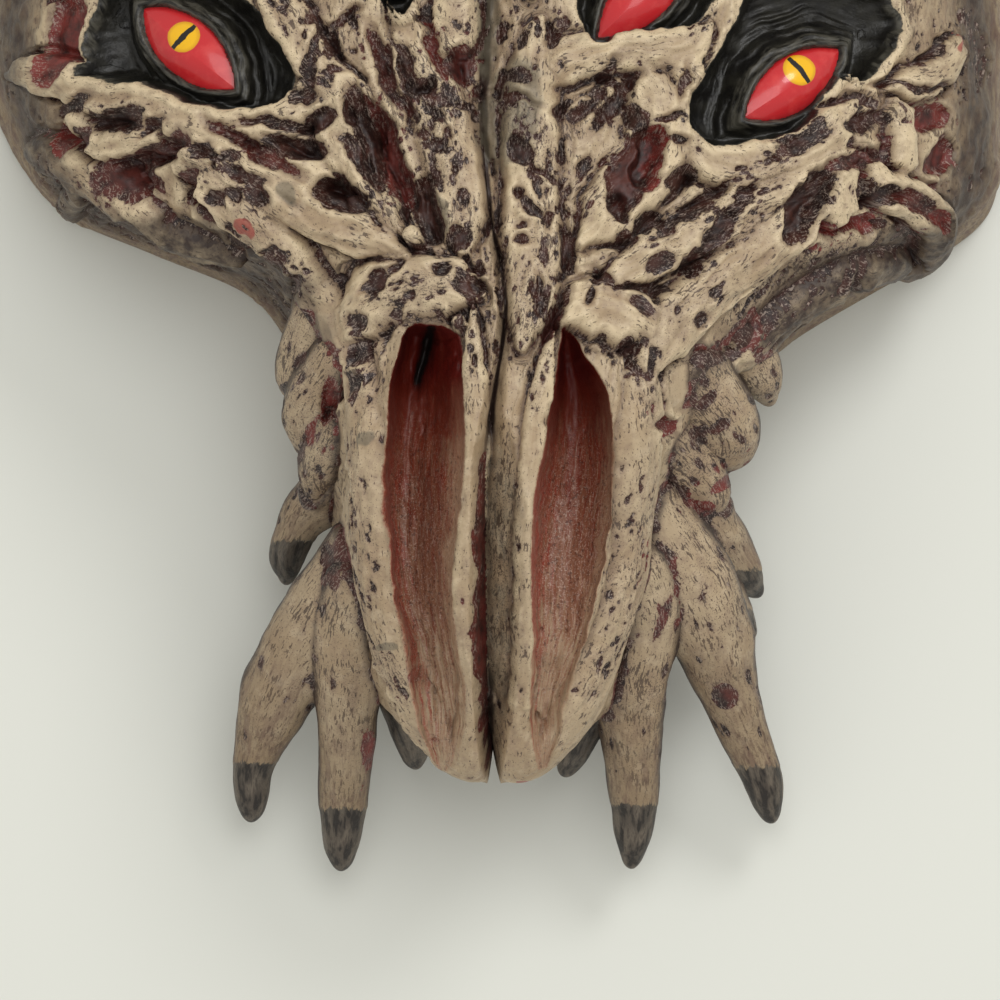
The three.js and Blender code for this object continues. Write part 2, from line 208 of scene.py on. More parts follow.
def rough(points, size, seed, octaves=2):
    """Uneven values of about -1 to 1: random values at the corners of cells, blended, in several sizes."""
    total, weight = 0.0, 0.0
    for octave in range(octaves):
        place = points / (size / 2 ** octave)
        cell = np.floor(place)
        share = place - cell
        share = share * share * (3 - 2 * share)
        value = 0.0
        for corner in np.ndindex(2, 2, 2):
            pull = np.prod(np.where(corner, share, 1 - share), axis=-1)
            value = value + pull * chance(cell + corner, seed + octave)
        total = total + (2 * value - 1) * 0.5 ** octave
        weight += 0.5 ** octave
    return total / weight * 1.6


def pores(points, flow, size, stretch, radius, dense, seed):
    """How deep each point lies inside the nearest of many pits, in mm, and below 0 outside them.

    The pits lie one to a cell, are drawn out along the flow, and are fewer and smaller where dense is low."""
    cell = np.floor(points / size)
    best = np.full(len(points), -3.0)
    for around in np.ndindex(3, 3, 3):
        other = cell + np.array(around) - 1
        gap = points - (other + np.stack([chance(other, seed + k) for k in range(3)], -1)) * size
        along = (gap * flow).sum(-1)
        across = np.maximum((gap ** 2).sum(-1) - along ** 2, 0)
        own = radius * (0.4 + 0.8 * chance(other, seed + 3))
        own = own * np.clip((dense - chance(other, seed + 4)) * 3, -1, 1)
        best = np.maximum(best, own - np.sqrt(across + (along / stretch) ** 2))
    return best


# The net: rows lie close together where the photograph looks, and wide over the forehead and under the chin.
ROWS = 650
SNOUT_ROW = 325        # the row at the root of the snout, where the brow's net ends
OUTER_COLUMNS = 280
INNER_COLUMNS = 20
BROW_Y = 47.0          # from here up a length of the crown counts for less, so that rows lie wider apart
BROW_WEIGHT = 0.3
SNOUT_Y = -30.0        # and from here down the snout
SNOUT_WEIGHT = 0.8
TIP_V = 0.82           # and under the snout's tip, told by v
TIP_WEIGHT = 0.5
CHIN_V = 0.89          # and under the chin
CHIN_WEIGHT = 0.25
HEIGHT_WEIGHT = 0.42   # what a length straight up counts for beside one that lies flat
TURN_SAMPLES = 700     # places on each rib at which its length is measured
CROWN_SAMPLES = 4001   # and along the crown
CLEFT = np.array([
    # x of the deepest line, y, reach to the left, reach to the right, depth
    (0, 175, 1, 1, 0), (0, 132, 3, 3, 2), (0, 100, 4, 4, 3), (-0.6, 55, 5, 6, 5),
    (-2.4, 37, 4.5, 7.5, 5.5), (-3.6, 16, 2.8, 7.5, 5), (-2.2, -2, 1.9, 4, 4.6),
    (-1.2, -11, 1.8, 2.6, 4.4), (1.9, -25, 2, 2, 4.6), (2.8, -34, 2.2, 2, 5), (2, -42, 2.2, 2.2, 5),
    (0.7, -50, 2, 2.6, 5.5), (-1, -61, 2.6, 4, 7), (-2.4, -73, 3.6, 8.5, 9.5), (-2.4, -86, 4.2, 10, 11),
    (-2.2, -112, 4.2, 10, 12), (-2, -126, 4, 8.6, 13), (-1.8, -136, 3.4, 6.4, 14),
    (-1.5, -146, 2.4, 3.8, 14), (-0.6, -152, 1.6, 2.4, 11), (-0.5, -157, 1.2, 1.4, 8), (0, -170, 1, 1, 0),
], float)


def at_y(rows, y):
    """The rows' numbers at places along Y, from one row to the next in straight lines."""
    order = np.argsort(rows[:, 1])
    return [np.interp(y, rows[order, 1], rows[order, k]) for k in (0, 2, 3, 4)]


def row_places(count):
    """v for each row: even steps along the crown, by lengths that weigh less where little shows."""
    fine = np.linspace(0, 1, CROWN_SAMPLES)
    crown = smooth_rows(RIBS, fine)[:, :2]
    length = np.linalg.norm(np.diff(crown, axis=0), axis=1)
    middle = (crown[1:] + crown[:-1]) / 2
    weight = np.where(middle[:, 0] > BROW_Y, BROW_WEIGHT, 1.0)
    weight = np.where(middle[:, 0] < SNOUT_Y, SNOUT_WEIGHT, weight)
    weight = np.where(fine[1:] > TIP_V, TIP_WEIGHT, weight)
    weight = np.where(fine[1:] > CHIN_V, CHIN_WEIGHT, weight)
    travelled = np.concatenate([[0], np.cumsum(length * weight)])
    return np.interp(np.linspace(0, travelled[-1], count), travelled, fine)


def column_turns(v, side, count):
    """The turn at each column of a half, cleft to rim: even steps of length, in which height weighs less."""
    start = np.full(len(v), math.pi / 2)
    for _ in range(12):
        here = rib_point(v, start)
        wanted = at_y(CLEFT, here[:, 1])[0]
        beside = rib_point(v, start - 1e-3)
        slope = (beside[:, 0] - here[:, 0]) / 1e-3
        start = np.clip(start + (here[:, 0] - wanted) / np.maximum(slope, 1e-3), 1.2, math.pi - 1.2)
    end = 0.0 if side > 0 else math.pi
    fine = start[:, None] + (end - start)[:, None] * np.linspace(0, 1, TURN_SAMPLES)
    places = rib_point(np.repeat(v[:, None], TURN_SAMPLES, 1), fine)
    leap = np.diff(places, axis=1) * (1, 1, HEIGHT_WEIGHT)
    travelled = np.concatenate([np.zeros((len(v), 1)), np.cumsum(np.linalg.norm(leap, axis=2), 1)], 1)
    total = np.maximum(travelled[:, -1:], 1e-9)
    lane = 2 * np.arange(len(v))[:, None]
    wanted = np.linspace(0, 1, count)[None, :]
    flat = np.interp((wanted + lane).ravel(), (travelled / total + lane).ravel(), fine.ravel())
    turns = flat.reshape(len(v), count)
    turns[:, 0], turns[:, -1] = start, end
    return turns


def facing(places):
    """Directions square to a net of points, from the differences along its rows and its columns."""
    along = np.gradient(places, axis=0)
    across = np.gradient(places, axis=1)
    out = np.cross(along, across)
    return out / np.maximum(np.linalg.norm(out, axis=-1, keepdims=True), 1e-9)


def face_normal(x, y):
    """The direction that the plain face looks in at a place, from its heights 3 mm to each side."""
    east, west, north, south = face_height(np.array([x + 3, x - 3, x, x]), np.array([y, y, y + 3, y - 3]))
    out = np.array([(west - east) / 6, (south - north) / 6, 1.0])
    return out / np.linalg.norm(out)


# Sockets: the edge of each bowl in plan, then the eye as it shows, by its middle, half length, half width and
# turn, and where its iris lies.
SOCKET_DEPTH = 15.0
LID_WIDTH = 9.0        # how far the lids reach from the eye's edge
LID_DROP = 5.6         # depth of the lids' edge below the face
SOCKETS = {
    "left_outer": {
        "edge": [(-105, 24), (-98, 22.3), (-92, 21.5), (-86, 20.5), (-76, 15.8), (-68, 15), (-58, 15.2),
                 (-52.5, 17), (-50.5, 23.8), (-52.5, 28.8), (-56.8, 35.5), (-60, 40.5), (-66, 46), (-76, 50),
                 (-89, 50), (-100, 45), (-103, 37.5), (-105, 30)],
        "eye": (-77.4, 30.6, 16.2, 7.5, -41), "iris": (-77.7, 33.2)},
    "right_outer": {
        "edge": [(50.2, 7.8), (54.3, 5.2), (60.9, 5), (66.8, 7.3), (73.4, 8.9), (79.2, 12.7), (84.2, 19.3),
                 (88.6, 23.9), (92.5, 22), (98.3, 26.8), (102, 32.6), (103.3, 39.2), (96, 47.5), (81, 51),
                 (66, 47.5), (60.9, 37.5), (54.3, 27.6), (49.3, 19.3), (47.8, 11.8)],
        "eye": (75.2, 21.8, 15.2, 6.8, 35), "iris": (76, 24.9)},
    "left_inner": {
        "edge": [(-23.5, 36), (-27.8, 42.5), (-38, 44), (-50, 50), (-58, 60), (-54, 68), (-42, 72), (-28, 66),
                 (-18, 54), (-18, 44)],
        "eye": (-37, 57, 15, 6.4, -43), "iris": (-36.5, 60.5)},
    "right_inner": {
        "edge": [(20.3, 40), (23.6, 33), (27.8, 31.8), (33.5, 34.6), (46, 34.3), (54.3, 40), (60, 47),
                 (60, 57), (50, 67), (34, 64), (22, 52)],
        "eye": (37.4, 43.6, 15.8, 6.6, 42), "iris": (36.6, 47.8)},
}

# Nostrils: y, left edge, right edge and depth, from the apex under the flap down to the tips.
RIM_OF_NOSTRIL = 1.5   # how high the bands still stand at its edge
NOSTRILS = [
    np.array([(-37.6, -21, -14, 3), (-39.2, -23, -11.5, 14), (-41.2, -24.8, -8.8, 20), (-45, -26, -8.2, 23),
              (-54, -27.4, -7.6, 25), (-65, -27.9, -7.2, 26), (-75, -28.6, -7.6, 25), (-86, -28.5, -8.8, 24),
              (-97, -27, -10.4, 20), (-108, -25.6, -10.4, 15.5), (-118, -23, -8.6, 12),
              (-128, -20.8, -7, 8.5), (-137, -17.8, -6.6, 5), (-144, -14.8, -8.2, 2),
              (-148, -12.8, -10.8, 0.3)], float),
    np.array([(-38.5, 17, 18, 4), (-42, 16.6, 20.4, 13), (-48, 15.8, 24.8, 22), (-56, 14.2, 28.8, 26),
              (-64, 12.8, 30.2, 27), (-72.6, 11, 31, 26), (-80, 9.5, 31.2, 25), (-89, 8.8, 30.4, 22),
              (-98, 8.7, 28.4, 18), (-106, 8.7, 26.8, 14.5), (-116, 9.4, 24.4, 11), (-126, 8.2, 20.8, 8),
              (-134, 8.4, 17.5, 5), (-142, 8.8, 14, 2.4), (-147, 9.8, 12, 0.4)], float),
]

# Bands of sinew and bone that stand on the face: height, radius, then the places that each runs through.
BAND_FLATNESS = 1.35   # half its width, for a radius of 1
BAND_REACH = 12.0      # how far outside a band its place is still worked out
BAND_PULL = 7.0        # and how far it turns the grain of the skin
BAND_WEB = 2.4         # width over which two bands run into each other
BAND_FOOT = 0.7        # the same between a band and the ground
NO_BAND = -9.0         # height of a band where there is none
NOT_IN = -3.0          # depth inside a pit, a socket or a nostril where there is none
BANDS = [
    # The left cheek and the rim under its sockets.
    (2.8, 4.2, [(-124, 25), (-119, 25), (-109, 23), (-100, 18.5), (-92, 17), (-84, 15.5), (-76, 11.5),
                (-66, 10.5), (-56, 12.5), (-46, 16), (-37, 19)]),
    (3.2, 5.2, [(-84, 14), (-76, 8), (-68, 3), (-56, -5), (-44, -12), (-32, -17), (-22, -21)]),
    (3.4, 5.4, [(-80, 2), (-70, -6), (-59, -15), (-49, -25), (-41, -36), (-37, -48)]),
    (3.2, 4.8, [(-119, 5), (-108, 1), (-98, -5), (-90, -12), (-78, -18), (-64, -24)]),
    (3.4, 5.0, [(-101, 2), (-94, -7), (-87, -13), (-81, -17.5)]),
    (2.4, 3.6, [(-44, 18), (-40, 8), (-37, -2)]),
    (2.2, 3.0, [(-60, 6), (-50, 0), (-40, -2)]),
    (2.2, 3.0, [(-107, 22), (-105, 13), (-99, 6), (-90, 8), (-80, 4)]),
    (2.0, 3.0, [(-98, -3), (-106, -6), (-108, -13), (-98, -17)]),
    (2.6, 3.4, [(-92, -19), (-78, -25), (-68, -31), (-60, -41)]),
    # The left side of the snout.
    (3.0, 7.6, [(-36, -42), (-34, -60), (-33, -80), (-32, -98), (-29, -112), (-25.5, -125), (-20, -136),
                (-13, -145), (-7, -149), (-4.6, -142), (-5, -130)]),
    (2.7, 6.4, [(-38, -42), (-32, -33), (-23, -29.5), (-14, -28.5), (-4, -31)]),
    (2.4, 2.6, [(-5.5, -34), (-4.4, -62), (-6, -86), (-8, -108), (-6.2, -122), (-5.4, -134), (-7, -146)]),
    (1.6, 6.4, [(-24, 38), (-17, 24), (-12, 8), (-9, -6), (-8, -20)]),
    (3.0, 4.2, [(-60, 47), (-51, 36), (-45, 26), (-38, 18), (-34, 4), (-28, -8), (-23, -16)]),
    # The right cheek.
    (3.2, 4.2, [(10, 22), (20, 28), (34, 30), (46, 30), (54, 36)]),
    (2.8, 6.6, [(37, 26), (42, 15), (40, 2), (31, -8), (22, -18)]),
    (3.2, 4.6, [(47, 12), (53, 3), (63, 1), (76, 4), (85, 11), (90, 17)]),
    (3.0, 4.8, [(94, 4), (81, -1), (68, -7), (54, -14), (40, -21), (27, -28)]),
    (3.8, 5.8, [(82, -6), (75, -13), (65, -22), (52, -32), (43, -42), (38, -52)]),
    (3.4, 5.4, [(104, -24), (90, -27), (79, -33), (68, -41), (57, -50)]),
    (3.4, 4.4, [(94, 4), (98, -4), (106, -8), (112, -14), (109, -22), (101, -25)]),
    (3.6, 4.6, [(86, 4), (85, -4), (85.5, -13.5)]),
    (2.2, 3.4, [(118, 34), (112, 24), (100, 21)]),
    (2.2, 3.2, [(101, 18), (103, 9), (103, -1)]),
    # The right side of the snout.
    (3.0, 7.6, [(38, -44), (37.5, -60), (36.5, -80), (34.5, -98), (31, -112), (26.5, -125), (21, -136),
                (13, -145), (7, -149), (5.4, -142), (6.4, -130)]),
    (2.6, 6.0, [(39, -42), (32, -36), (25, -34), (17, -37)]),
    (2.4, 2.4, [(15, -40), (11.5, -54), (9, -72), (7.8, -90), (7.6, -112), (6.4, -130), (7, -146)]),
    (2.0, 6.0, [(11, 37), (9, 16), (9, -6), (9, -26), (7, -44)]),
    # Brows and forehead.
    (2.8, 5.0, [(-112, 54), (-98, 58), (-70, 58), (-48, 76), (-16, 80)]),
    (2.8, 5.0, [(112, 54), (100, 58), (78, 57), (42, 70), (16, 76)]),
    (1.5, 6.2, [(-9, 44), (-9, 72), (-16, 100), (-32, 130), (-44, 150)]),
    (1.5, 6.2, [(9, 44), (10, 72), (18, 100), (34, 130), (46, 150)]),
    (1.4, 5.8, [(-48, 78), (-56, 98), (-74, 120), (-82, 138)]),
    (1.4, 5.8, [(46, 74), (58, 98), (74, 120), (82, 138)]),
    (1.4, 5.6, [(-84, 62), (-96, 82), (-106, 104)]),
    (1.4, 5.6, [(84, 60), (98, 82), (106, 104)]),
]

# Pits between the bands: x, y, half length, half width, turn, depth, share of red flesh.
PITS = [
    (-107.5, 15.4, 6.7, 1.5, 25, 1.2, 0), (-111.5, 7.3, 5, 2.4, -35, 2, 1),
    (-103.7, 8.9, 3.4, 2.4, 40, 1.5, 0.2), (-94, 12.7, 5.5, 2.6, 5, 1.2, 0),
    (-85.5, 11, 3, 1.3, 25, 1, 0), (-78.2, 7.3, 3.6, 2, 10, 2, 0.2), (-85.8, 3.5, 7.5, 2.8, 18, 3, 0.2),
    (-93.4, -2, 6.5, 3.6, -35, 2, 0.3), (-86.9, -3, 4.5, 1.2, -48, 1, 0.2),
    (-76.7, -4.7, 5.8, 2.4, 82, 4, 0.2), (-73.3, -10.6, 4, 2.2, -40, 2, 0.2),
    (-71.5, 5.3, 2.6, 1.7, -10, 1, 0), (-64.4, 2.8, 2.7, 1.3, -5, 1, 0),
    (-69.5, 0.9, 0.8, 0.8, 0, 0.8, 0), (-61.4, -2, 5, 1.8, -25, 1.5, 0),
    (-57.9, -7.4, 2.9, 1.8, -40, 1.3, 0), (-63.5, -7.3, 2.3, 1.3, -20, 1, 0),
    (-67.9, -8.4, 1.8, 1.7, 0, 1, 0), (-55, -20.4, 1.9, 1.4, 30, 1, 0),
    (-53.2, -23.9, 2.2, 1.4, -50, 1, 0), (-49.2, -26.4, 2.3, 2, 0, 1.5, 0),
    (-65.7, -19.9, 3, 2.2, -40, 1.5, 0), (-50, -32.3, 3.5, 2, -35, 1.3, 0),
    (-100.4, -11.7, 7, 3, -55, 4, 0), (-88.5, -14.2, 4.4, 2.2, -32, 2.5, 0),
    (-110.2, -3.6, 4.4, 2.6, -40, 1.5, 0), (-119.7, 9, 8, 0.8, -77, 1.2, 0),
    (-59.5, 4.8, 12, 1.5, -34, 2.5, 0.3), (-55.5, 11, 7.5, 1.3, -3, 1.5, 0),
    (-43.5, 11.9, 4.9, 2.6, 22, 2, 0), (-49.2, 4.8, 8, 2.9, -6, 2, 0),
    (-47.8, 17.5, 3.5, 1.3, 12, 1.2, 0), (-44.6, 31.1, 3, 1, 80, 0.8, 0), (-41.3, 30, 2.5, 1, 80, 0.8, 0),
    (-46.7, 37.3, 2, 1.5, 0, 0.8, 0), (-46.4, 24, 5, 1.8, 85, 1.5, 0), (-38, 37.5, 4.2, 1.2, 28, 1, 0),
    (-39.5, 25.1, 2.2, 1, -10, 1, 0), (-27.2, 25.1, 10, 1.8, -69, 2.5, 0.2),
    (-21.7, 25.7, 4.6, 2, -70, 2, 0), (-18.5, 19.9, 4, 2.5, -30, 1, 0),
    (-15.1, 28.8, 4, 1.3, -70, 2, 0.6), (-9, 25.7, 4, 3.6, -40, 1.5, 0.3),
    (-17.5, 19.3, 1.5, 1.2, 0, 1.5, 0), (-13.2, 13, 2, 1, -50, 1, 0), (-12.7, 16.2, 2, 1.1, -55, 1, 0),
    (-8, 14.6, 1.6, 0.9, -50, 1, 0), (-11.4, 8.8, 1.2, 0.7, -40, 1, 0), (-17.4, 9.5, 1.2, 0.8, 0, 1, 0),
    (-14.2, 6.2, 2.4, 1.6, 0, 1, 0), (-31.4, 6.7, 12, 2.6, -72, 7, 0),
    (-25.9, 3.6, 12.5, 3, -68, 4.5, 0.5), (-33.5, 2, 6, 1.7, -60, 2.5, 0),
    (-35.8, 13, 2.6, 1.1, -80, 3, 0), (-16.9, -9, 7.5, 3.4, -72, 2.5, 0), (-21.5, -10.1, 3, 1, 60, 2, 0),
    (-38, -8, 6, 3.3, -22, 3.5, 0), (-9, -16.4, 3, 2.6, 50, 1.5, 0), (-28.5, -29, 3, 2.5, 60, 2, 0),
    (-24.3, -25.1, 2.3, 1.2, 30, 1.5, 0), (-12.5, -24.2, 2.2, 1.7, -50, 1.5, 0),
    (-5, -24.3, 2, 1.7, 0, 1.5, 0), (-6.4, -29.6, 3.5, 2.4, 0, 1.2, 0),
    (-110.5, 33, 10.5, 4.6, 80, 2.2, 0.9), (-24.8, -36.4, 2.4, 1.1, 35, 1, 0),
    (-40.7, -56.2, 3.2, 1.8, 80, 2.5, 0.7), (-33, -38, 2.2, 1.5, 90, 1.5, 0),
    (-33.5, -47, 2.6, 1.6, -80, 1.5, 0), (-34, -53.5, 2, 0.9, 85, 1, 0), (-36, -77, 3, 1.2, -80, 1, 0),
    (-25.5, -131, 5, 1.0, -62, 1.2, 0.2), (-30, -124, 4, 1.0, -70, 1.2, 0),
    (-18.5, -142.5, 3, 0.8, -55, 0.8, 0), (5.2, 22, 3.8, 2, -20, 1.2, 0),
    (4.1, 17.3, 5, 0.6, -15, 0.8, 0), (26.5, 23, 5, 0.8, 47, 1, 0), (22.6, 15.4, 4.2, 1.4, 38, 1.3, 0),
    (30.2, 17.2, 8.2, 1.7, 52, 1.3, 0), (17.3, 15.1, 3.4, 1.6, 55, 1.2, 0), (22.6, 1, 2.4, 1.6, 60, 1, 0),
    (35.5, 12.5, 4, 2.2, -75, 1.5, 0), (34.1, -1.7, 11.5, 4.5, 64, 3.5, 0.15),
    (38.6, 3.5, 6.8, 2.8, 78, 3.5, 1), (30.5, -10.7, 4, 2.2, -60, 2, 0), (39, -4.6, 2.6, 1.2, 60, 2, 1),
    (45.2, -2.2, 4, 2.3, 50, 1.5, 0), (45, 6.5, 2.3, 1.2, -20, 1, 0), (43, 13.8, 4, 0.9, 22, 1.2, 0),
    (46.5, 21.2, 3, 0.7, 82, 1, 0), (46.8, -12.8, 8, 1.4, 29, 1.5, 0), (38.4, -13.3, 3.2, 2, 30, 1.3, 0),
    (32.6, -17.5, 3.4, 1.6, 25, 1, 0), (40.5, -24, 3.6, 2.2, 20, 1.3, 0), (49.4, -22.8, 4, 2, 40, 1, 0),
    (5.5, 3.5, 3.2, 2.6, -30, 1.5, 0), (12, -1.5, 4, 1.1, -30, 1.2, 0), (5.3, -6.5, 1.5, 1.1, 0, 1, 0),
    (9.2, -10.6, 4.2, 1.4, -42, 1.3, 0), (13.6, -13.3, 2.6, 1, 80, 1, 0), (6.8, -14.2, 1.2, 1, 0, 1, 0),
    (6.2, -18.6, 1.6, 1.1, 0, 1, 0), (18.3, -19.9, 5.2, 2.3, -80, 2, 0),
    (10.7, -31.7, 4.6, 1.5, -85, 1.5, 0), (17.3, -31.7, 2.4, 1, 80, 1, 0), (23.4, -32, 2, 1.4, 60, 1, 0),
    (27.3, -27, 3, 1.5, -40, 1, 0), (35.7, -34.9, 3.4, 1.8, -60, 1, 0), (42, -30.9, 1.5, 1.2, 0, 1, 0),
    (50, -36.2, 2.6, 1.3, 50, 1, 0), (14.7, -38, 4, 1.6, 80, 2, 0.2), (33.5, -45, 2.4, 1.6, -70, 1.2, 0),
    (36, -50.5, 2.8, 1, -80, 1, 0), (112.1, 13.5, 7.3, 3.1, 4, 2, 0.8), (108, 21.2, 9, 0.8, -6, 1.2, 0),
    (120.8, 21, 3.5, 0.5, -8, 0.8, 0), (116.7, 4.5, 6, 4.4, 35, 2.2, 0.7),
    (90.7, 2.6, 9.2, 2.2, 15, 1.6, 0.4), (92.6, 12.7, 6.2, 1.9, 12, 1.2, 0),
    (95, 18.4, 3, 1.3, -10, 1, 0), (75.5, 6.7, 7, 2.2, 25, 1, 0), (62.5, -6.3, 3, 1.5, 60, 1, 0),
    (59.8, -10.4, 4, 1.2, 25, 1, 0), (53.8, -6.3, 5, 1.2, 28, 0.8, 0), (55.5, -15.8, 5, 2.4, 45, 1.2, 0),
    (76.6, -9, 9.5, 3.6, 62, 5, 0), (90.2, -14.7, 7.8, 2.3, 9, 3, 1),
    (99.1, -14.7, 1.7, 1.4, 0, 1.2, 0.2), (93.4, -22.6, 6.5, 1.3, 48, 1.5, 0),
    (89, -29, 4, 1.6, 55, 1.2, 0), (121.6, -11.5, 4.6, 1.8, 42, 1.5, 0), (124.9, 10.5, 2, 0.8, 30, 1, 0),
    (97, -7, 5.5, 2.2, 20, 2.5, 0), (105, -7.2, 5, 2.2, -22, 2.5, 0.3),
    (111.5, -13, 4.5, 2.2, -70, 2.5, 0.9), (109.5, -21.5, 4.5, 1.9, -115, 2.5, 0.5),
    (103, -26.3, 4, 1.6, -150, 2, 0), (41.3, -92, 3.6, 1.8, 75, 2, 0.9), (39, -100, 5, 1.6, 76, 2, 0.9),
    (43, -65, 3, 1.8, 50, 2, 0.7), (48.5, -75.8, 3.4, 1.8, 10, 1.6, 0.7),
    (41.3, -62.8, 2.5, 1.6, 0, 1.6, 0.6),
]

# Patches strewn thickly with small pits: x, y, half length, half width, turn, how dense.
FLANK_SHADE = 0.75      # how dark the painted shade lies on the steep flanks
FLANK_DEPTH = 3.4      # how deep the relief may go there, with the wall behind it
PORE_CELL = 3.4        # one large pore to a cell this wide, and one small one
PORE_RADIUS = 1.4
SMALL_CELL = 1.8
SMALL_RADIUS = 0.72
SPONGE = [
    (-96, -17, 14, 4, -22, 1.0), (-76, -27, 14, 5, -35, 0.9), (-58, -36, 11, 6, -52, 0.9),
    (-112, -2, 8, 5, -55, 0.8), (-94, 13, 9, 4, 5, 0.8), (-97, -4, 8, 5, -40, 0.5),
    (-68, -2, 16, 5, -34, 0.7), (-55, -20, 16, 5, -40, 0.6), (-27, 12, 10, 8, -60, 0.7),
    (-15, 18, 14, 9, -60, 1.0), (-14, 3, 10, 7, -60, 0.85), (-26, -10, 8, 6, -60, 0.7),
    (-8, -14, 9, 5, -80, 0.7), (-18, -30, 14, 4, 15, 0.9), (-5, -40, 14, 2.6, -88, 0.9),
    (-42, 24, 8, 4, 85, 0.7), (-32, -50, 12, 3.4, -88, 0.7), (-32, -90, 26, 3.6, -84, 0.5),
    (-26, -122, 14, 2, -62, 0.8), (8, 6, 16, 6, -60, 0.95), (12, -22, 14, 4, -85, 0.7),
    (20, -6, 12, 7, 40, 0.6), (25, 18, 14, 6, 48, 0.7), (43, -14, 14, 4, 30, 0.8),
    (58, -6, 18, 5, 28, 0.7), (75, 8, 10, 4, 26, 0.9), (95, 14, 9, 4, 8, 0.9), (9, -36, 14, 5, -84, 0.9),
    (48, -32, 14, 6, 45, 0.5), (60, -14, 14, 4, 40, 0.6), (83, -24, 12, 5, 28, 1.0),
    (70, -35, 12, 5, 42, 0.9), (122, 30, 12, 6, 85, 1.0), (118, -4, 8, 5, 40, 0.5),
    (102, -17, 8, 4, 60, 0.4), (37, -52, 12, 3, -88, 0.6), (33, -95, 26, 4, 80, 0.5),
    (9, -50, 14, 2.4, -84, 0.7), (5, -100, 34, 3, -88, 0.3), (27, -120, 14, 2.4, 60, 0.6),
    (52, 38, 9, 3.5, 50, 0.8), (14, 36, 9, 5, -80, 0.6), (-52, 38, 9, 4, -50, 0.7),
    (-112, 50, 12, 8, -60, 0.8), (0, 72, 24, 9, 0, 0.6), (-40, 104, 24, 9, 20, 0.5),
    (44, 100, 24, 9, -20, 0.5), (0, 130, 30, 10, 0, 0.5),
]
LIFTED = [
    # Beads and lobes that stand up: x, y, half length, half width, turn, height.
    (-20, -17, 2.4, 2.2, 0, 2.6), (-35.1, -9.3, 2.6, 2.2, -30, 2.4), (-22.5, 41, 4, 6, 0, 2.4),
    (-10, 37.5, 6, 11, 0, 3.4), (-34.5, 18.5, 3.6, 3, 0, 1.6), (-47, 20, 3, 2, 20, 1.2),
    (47.5, 24, 4, 5.5, 20, 2.2), (-81, -17, 3.2, 2.4, -40, 1.6), (85.5, -13.5, 3, 2.6, 0, 1.6),
    (-92, 20.6, 4, 1.8, -10, 1.6), (-8.6, -38.6, 2.4, 1.6, -60, 1.6),
]
STAINS = [
    # Paint on smooth skin: x, y, half length, half width, turn, and whether it is red (1) or grey-green (0).
    (116.5, 32.7, 3.6, 0.9, 58, 1), (-60.6, -13.4, 3.5, 1.6, -35, 1), (6, -151, 1.6, 1, 20, 1),
    (-30.8, -67.2, 1.3, 1.9, 0, 0), (-25.3, -118.3, 2.0, 1.0, 0, 0), (48.4, -62.6, 1.1, 0.9, 0, 0),
    (-51, -6.5, 3.4, 2, -50, 0), (3.5, 14, 15, 8, 80, 0), (-2, 36, 14, 3.5, 88, 0),
    (-14, -10, 6, 2.5, -70, 0),
]


def local(points, x, y, turn):
    """Plan coordinates along and across a feature that lies at x, y and is turned by some degrees."""
    c, s = math.cos(math.radians(turn)), math.sin(math.radians(turn))
    dx, dy = points[:, 0] - x, points[:, 1] - y
    return dx * c + dy * s, dy * c - dx * s


def to_path(points, path):
    """Nearest distance to a path of straight pieces, and the length along the path to the nearest place."""
    best = np.full(len(points), 1e9)
    travelled = np.zeros(len(points))
    start = 0.0
    for a, b in zip(path[:-1], path[1:]):
        piece = b - a
        long = np.linalg.norm(piece)
        share = np.clip((points - a) @ piece / long ** 2, 0, 1)
        gap = np.linalg.norm(points - a - share[:, None] * piece, axis=1)
        nearer = gap < best
        best = np.where(nearer, gap, best)
        travelled = np.where(nearer, start + share * long, travelled)
        start += long
    return best, travelled, start


def edge_depth(points, edge):
    """How far inside an edge points lie, as a share of the way to its middle, and how long that way is."""
    edge = np.asarray(edge, float)
    middle = (edge.max(0) + edge.min(0)) / 2
    ring = smooth_rows(np.vstack([edge, edge[:1]]), np.linspace(0, 1, 40 * len(edge))) - middle
    angle = np.arctan2(ring[:, 1], ring[:, 0]) % (2 * math.pi)
    order = np.argsort(angle)
    away = points[:, :2] - middle
    here = np.arctan2(away[:, 1], away[:, 0]) % (2 * math.pi)
    reach = np.interp(here, angle[order], np.linalg.norm(ring, axis=1)[order], period=2 * math.pi)
    return 1 - np.linalg.norm(away, axis=1) / reach, reach


def almond(a, b, half_long, half_wide):
    """Distance outside an eye's outline: two arcs of one radius that meet at the corners of the eye."""
    radius = (half_long ** 2 + half_wide ** 2) / (2 * half_wide)
    return np.hypot(a, np.abs(b) + radius - half_wide) - radius


def eye_seat(eye):
    """The eye's middle on the plain face, moved so that the sunk eye shows where the photograph has it."""
    x, y, long, wide, turn = eye
    out = face_normal(x, y)
    sunk = LID_DROP - 1.2
    return x + sunk * out[0], y + sunk * out[1], long, wide, turn, out


